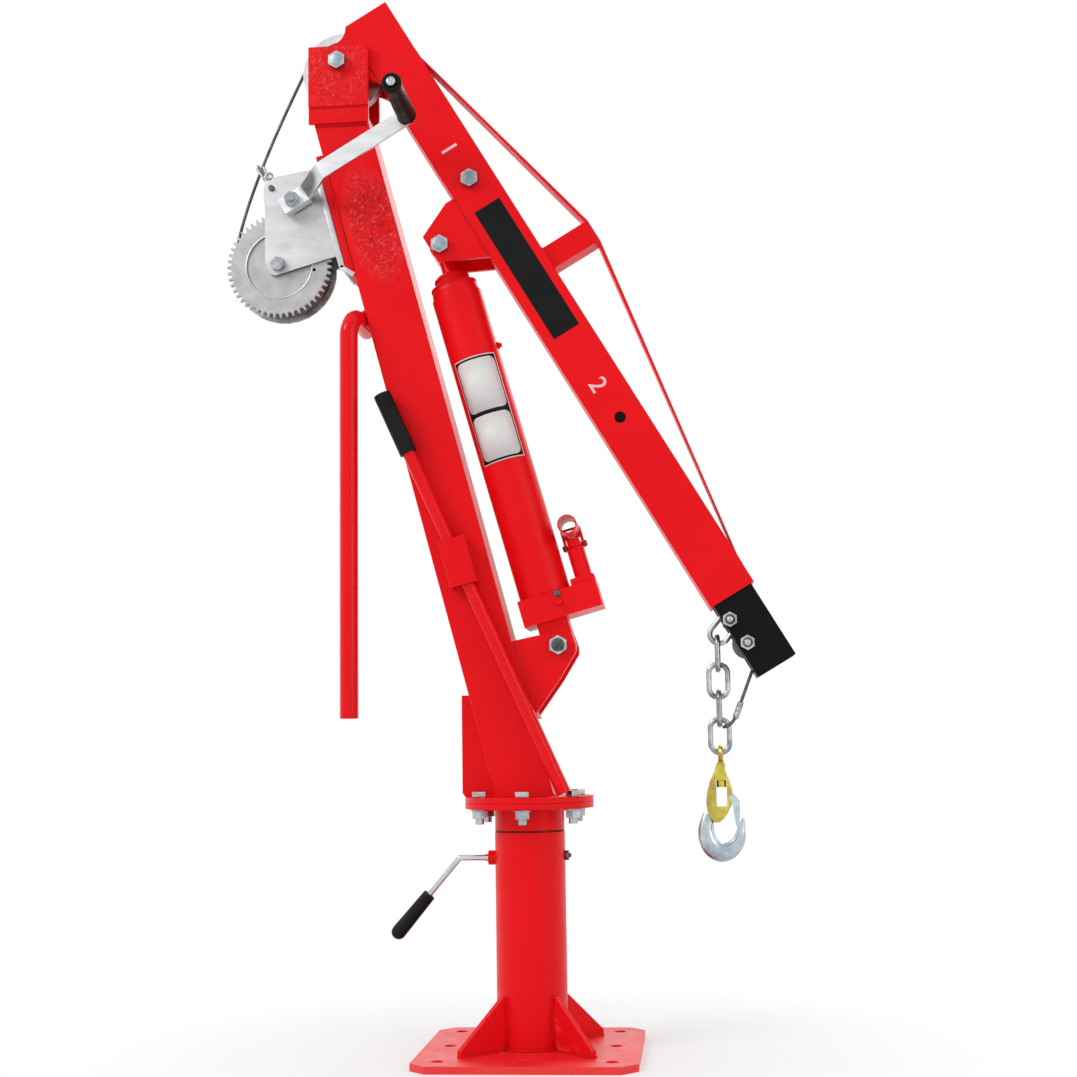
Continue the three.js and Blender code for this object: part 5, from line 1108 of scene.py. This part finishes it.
BOOM_MARKS = {"1": 200.0, "2": 617.0}
MARK_SIZE = 36.0
MARK_SIDE = -35.08
MARK_UP = 70.0
PAINT_HALF = 0.06
STROKE_GROWTH = 0.3


def boom_marks():
    """Plain numerals beside the two lock holes, a coat of paint thick."""
    upright = Matrix.Rotation(math.radians(90.0), 4, "X")
    for number, along in BOOM_MARKS.items():
        name = "boom_mark_" + number
        data = bpy.data.curves.new(name, "FONT")
        data.body = number
        data.size = MARK_SIZE * MM
        data.extrude = PAINT_HALF * MM
        data.offset = STROKE_GROWTH * MM
        data.align_x = "CENTER"
        data.align_y = "CENTER"
        place = BOOM @ Matrix.Translation(Vector((along, MARK_SIDE, MARK_UP)) * MM) @ upright
        finish_piece(name, shape_of(name, data), STENCIL, "boom", place, smooth=False)


# Each plate on the jack: width, height, thickness, and radius of its middle
LABEL_EDGE = (69.6, 158.0, 0.2, 37.1)
LABEL_GROUND = (66.4, 154.8, 0.3, 37.15)
UPPER_FIELD = (62.0, 77.0, 0.45, 37.22)
LOWER_FIELD = (62.0, 66.0, 0.45, 37.22)
LABEL_UP = 354.0
UPPER_FIELD_UP = 390.0
LOWER_FIELD_UP = 312.5
FIELD_CORNER = 9.0
CORNER_SEGMENTS = 6
WRAP_STRIPS = 24
THROUGH = 0.05  # an edge that runs further than this from front to back goes through the plate


def wrapped(width, height, thickness, radius, up, corner=0.0):
    """A thin plate, bent round the jack's barrel at its front."""
    plate = bmesh.new()
    bmesh.ops.create_cube(plate, size=1.0)
    bmesh.ops.scale(plate, vec=Vector((width, thickness, height)) * MM, verts=plate.verts)
    if corner:
        through = [edge for edge in plate.edges
                   if abs(edge.verts[0].co.y - edge.verts[1].co.y) > THROUGH * MM]
        bmesh.ops.bevel(plate, geom=through, offset=corner * MM, offset_type="OFFSET", affect="EDGES",
                        segments=CORNER_SEGMENTS, profile=0.5, material=-1)
    for i in range(1, WRAP_STRIPS):
        bmesh.ops.bisect_plane(plate, geom=plate.verts[:] + plate.edges[:] + plate.faces[:], dist=CUT_GAP,
                               plane_co=((i / WRAP_STRIPS - 0.5) * width * MM, 0.0, 0.0),
                               plane_no=(1.0, 0.0, 0.0))
    for vert in plate.verts:
        angle = vert.co.x / (radius * MM)
        reach = radius * MM - vert.co.y
        vert.co = (reach * math.sin(angle), -reach * math.cos(angle), vert.co.z + up * MM)
    return plate


def plain_plates():
    """A bare black band on the boom, and a blank plate on the jack."""
    band = slab(size=(223.0, 0.4, 42.3), centre=(415.3, -35.2, 73.5))
    finish_piece("boom_band", band, BAND_BLACK, "boom", BOOM, smooth=False)
    edge = wrapped(*LABEL_EDGE, LABEL_UP)
    finish_piece("jack_plate_edge", edge, PLATE_WHITE, "jack_body", JACK)
    ground = wrapped(*LABEL_GROUND, LABEL_UP)
    finish_piece("jack_plate_ground", ground, BAND_BLACK, "jack_body", JACK)
    fields = together(wrapped(*UPPER_FIELD, UPPER_FIELD_UP, FIELD_CORNER),
                      wrapped(*LOWER_FIELD, LOWER_FIELD_UP, FIELD_CORNER))
    finish_piece("jack_plate_fields", fields, PLATE_WHITE, "jack_body", JACK)


photo_camera()
ropes()
studio()
studio_floor()
finish_nodes()
post_welds()
mast_welds()
boom_welds()
crank_fittings()
jack_fittings()
pump_fittings()
winch_fittings()
forged_hook()
bolt_faces()
post_fittings()
boom_marks()
plain_plates()
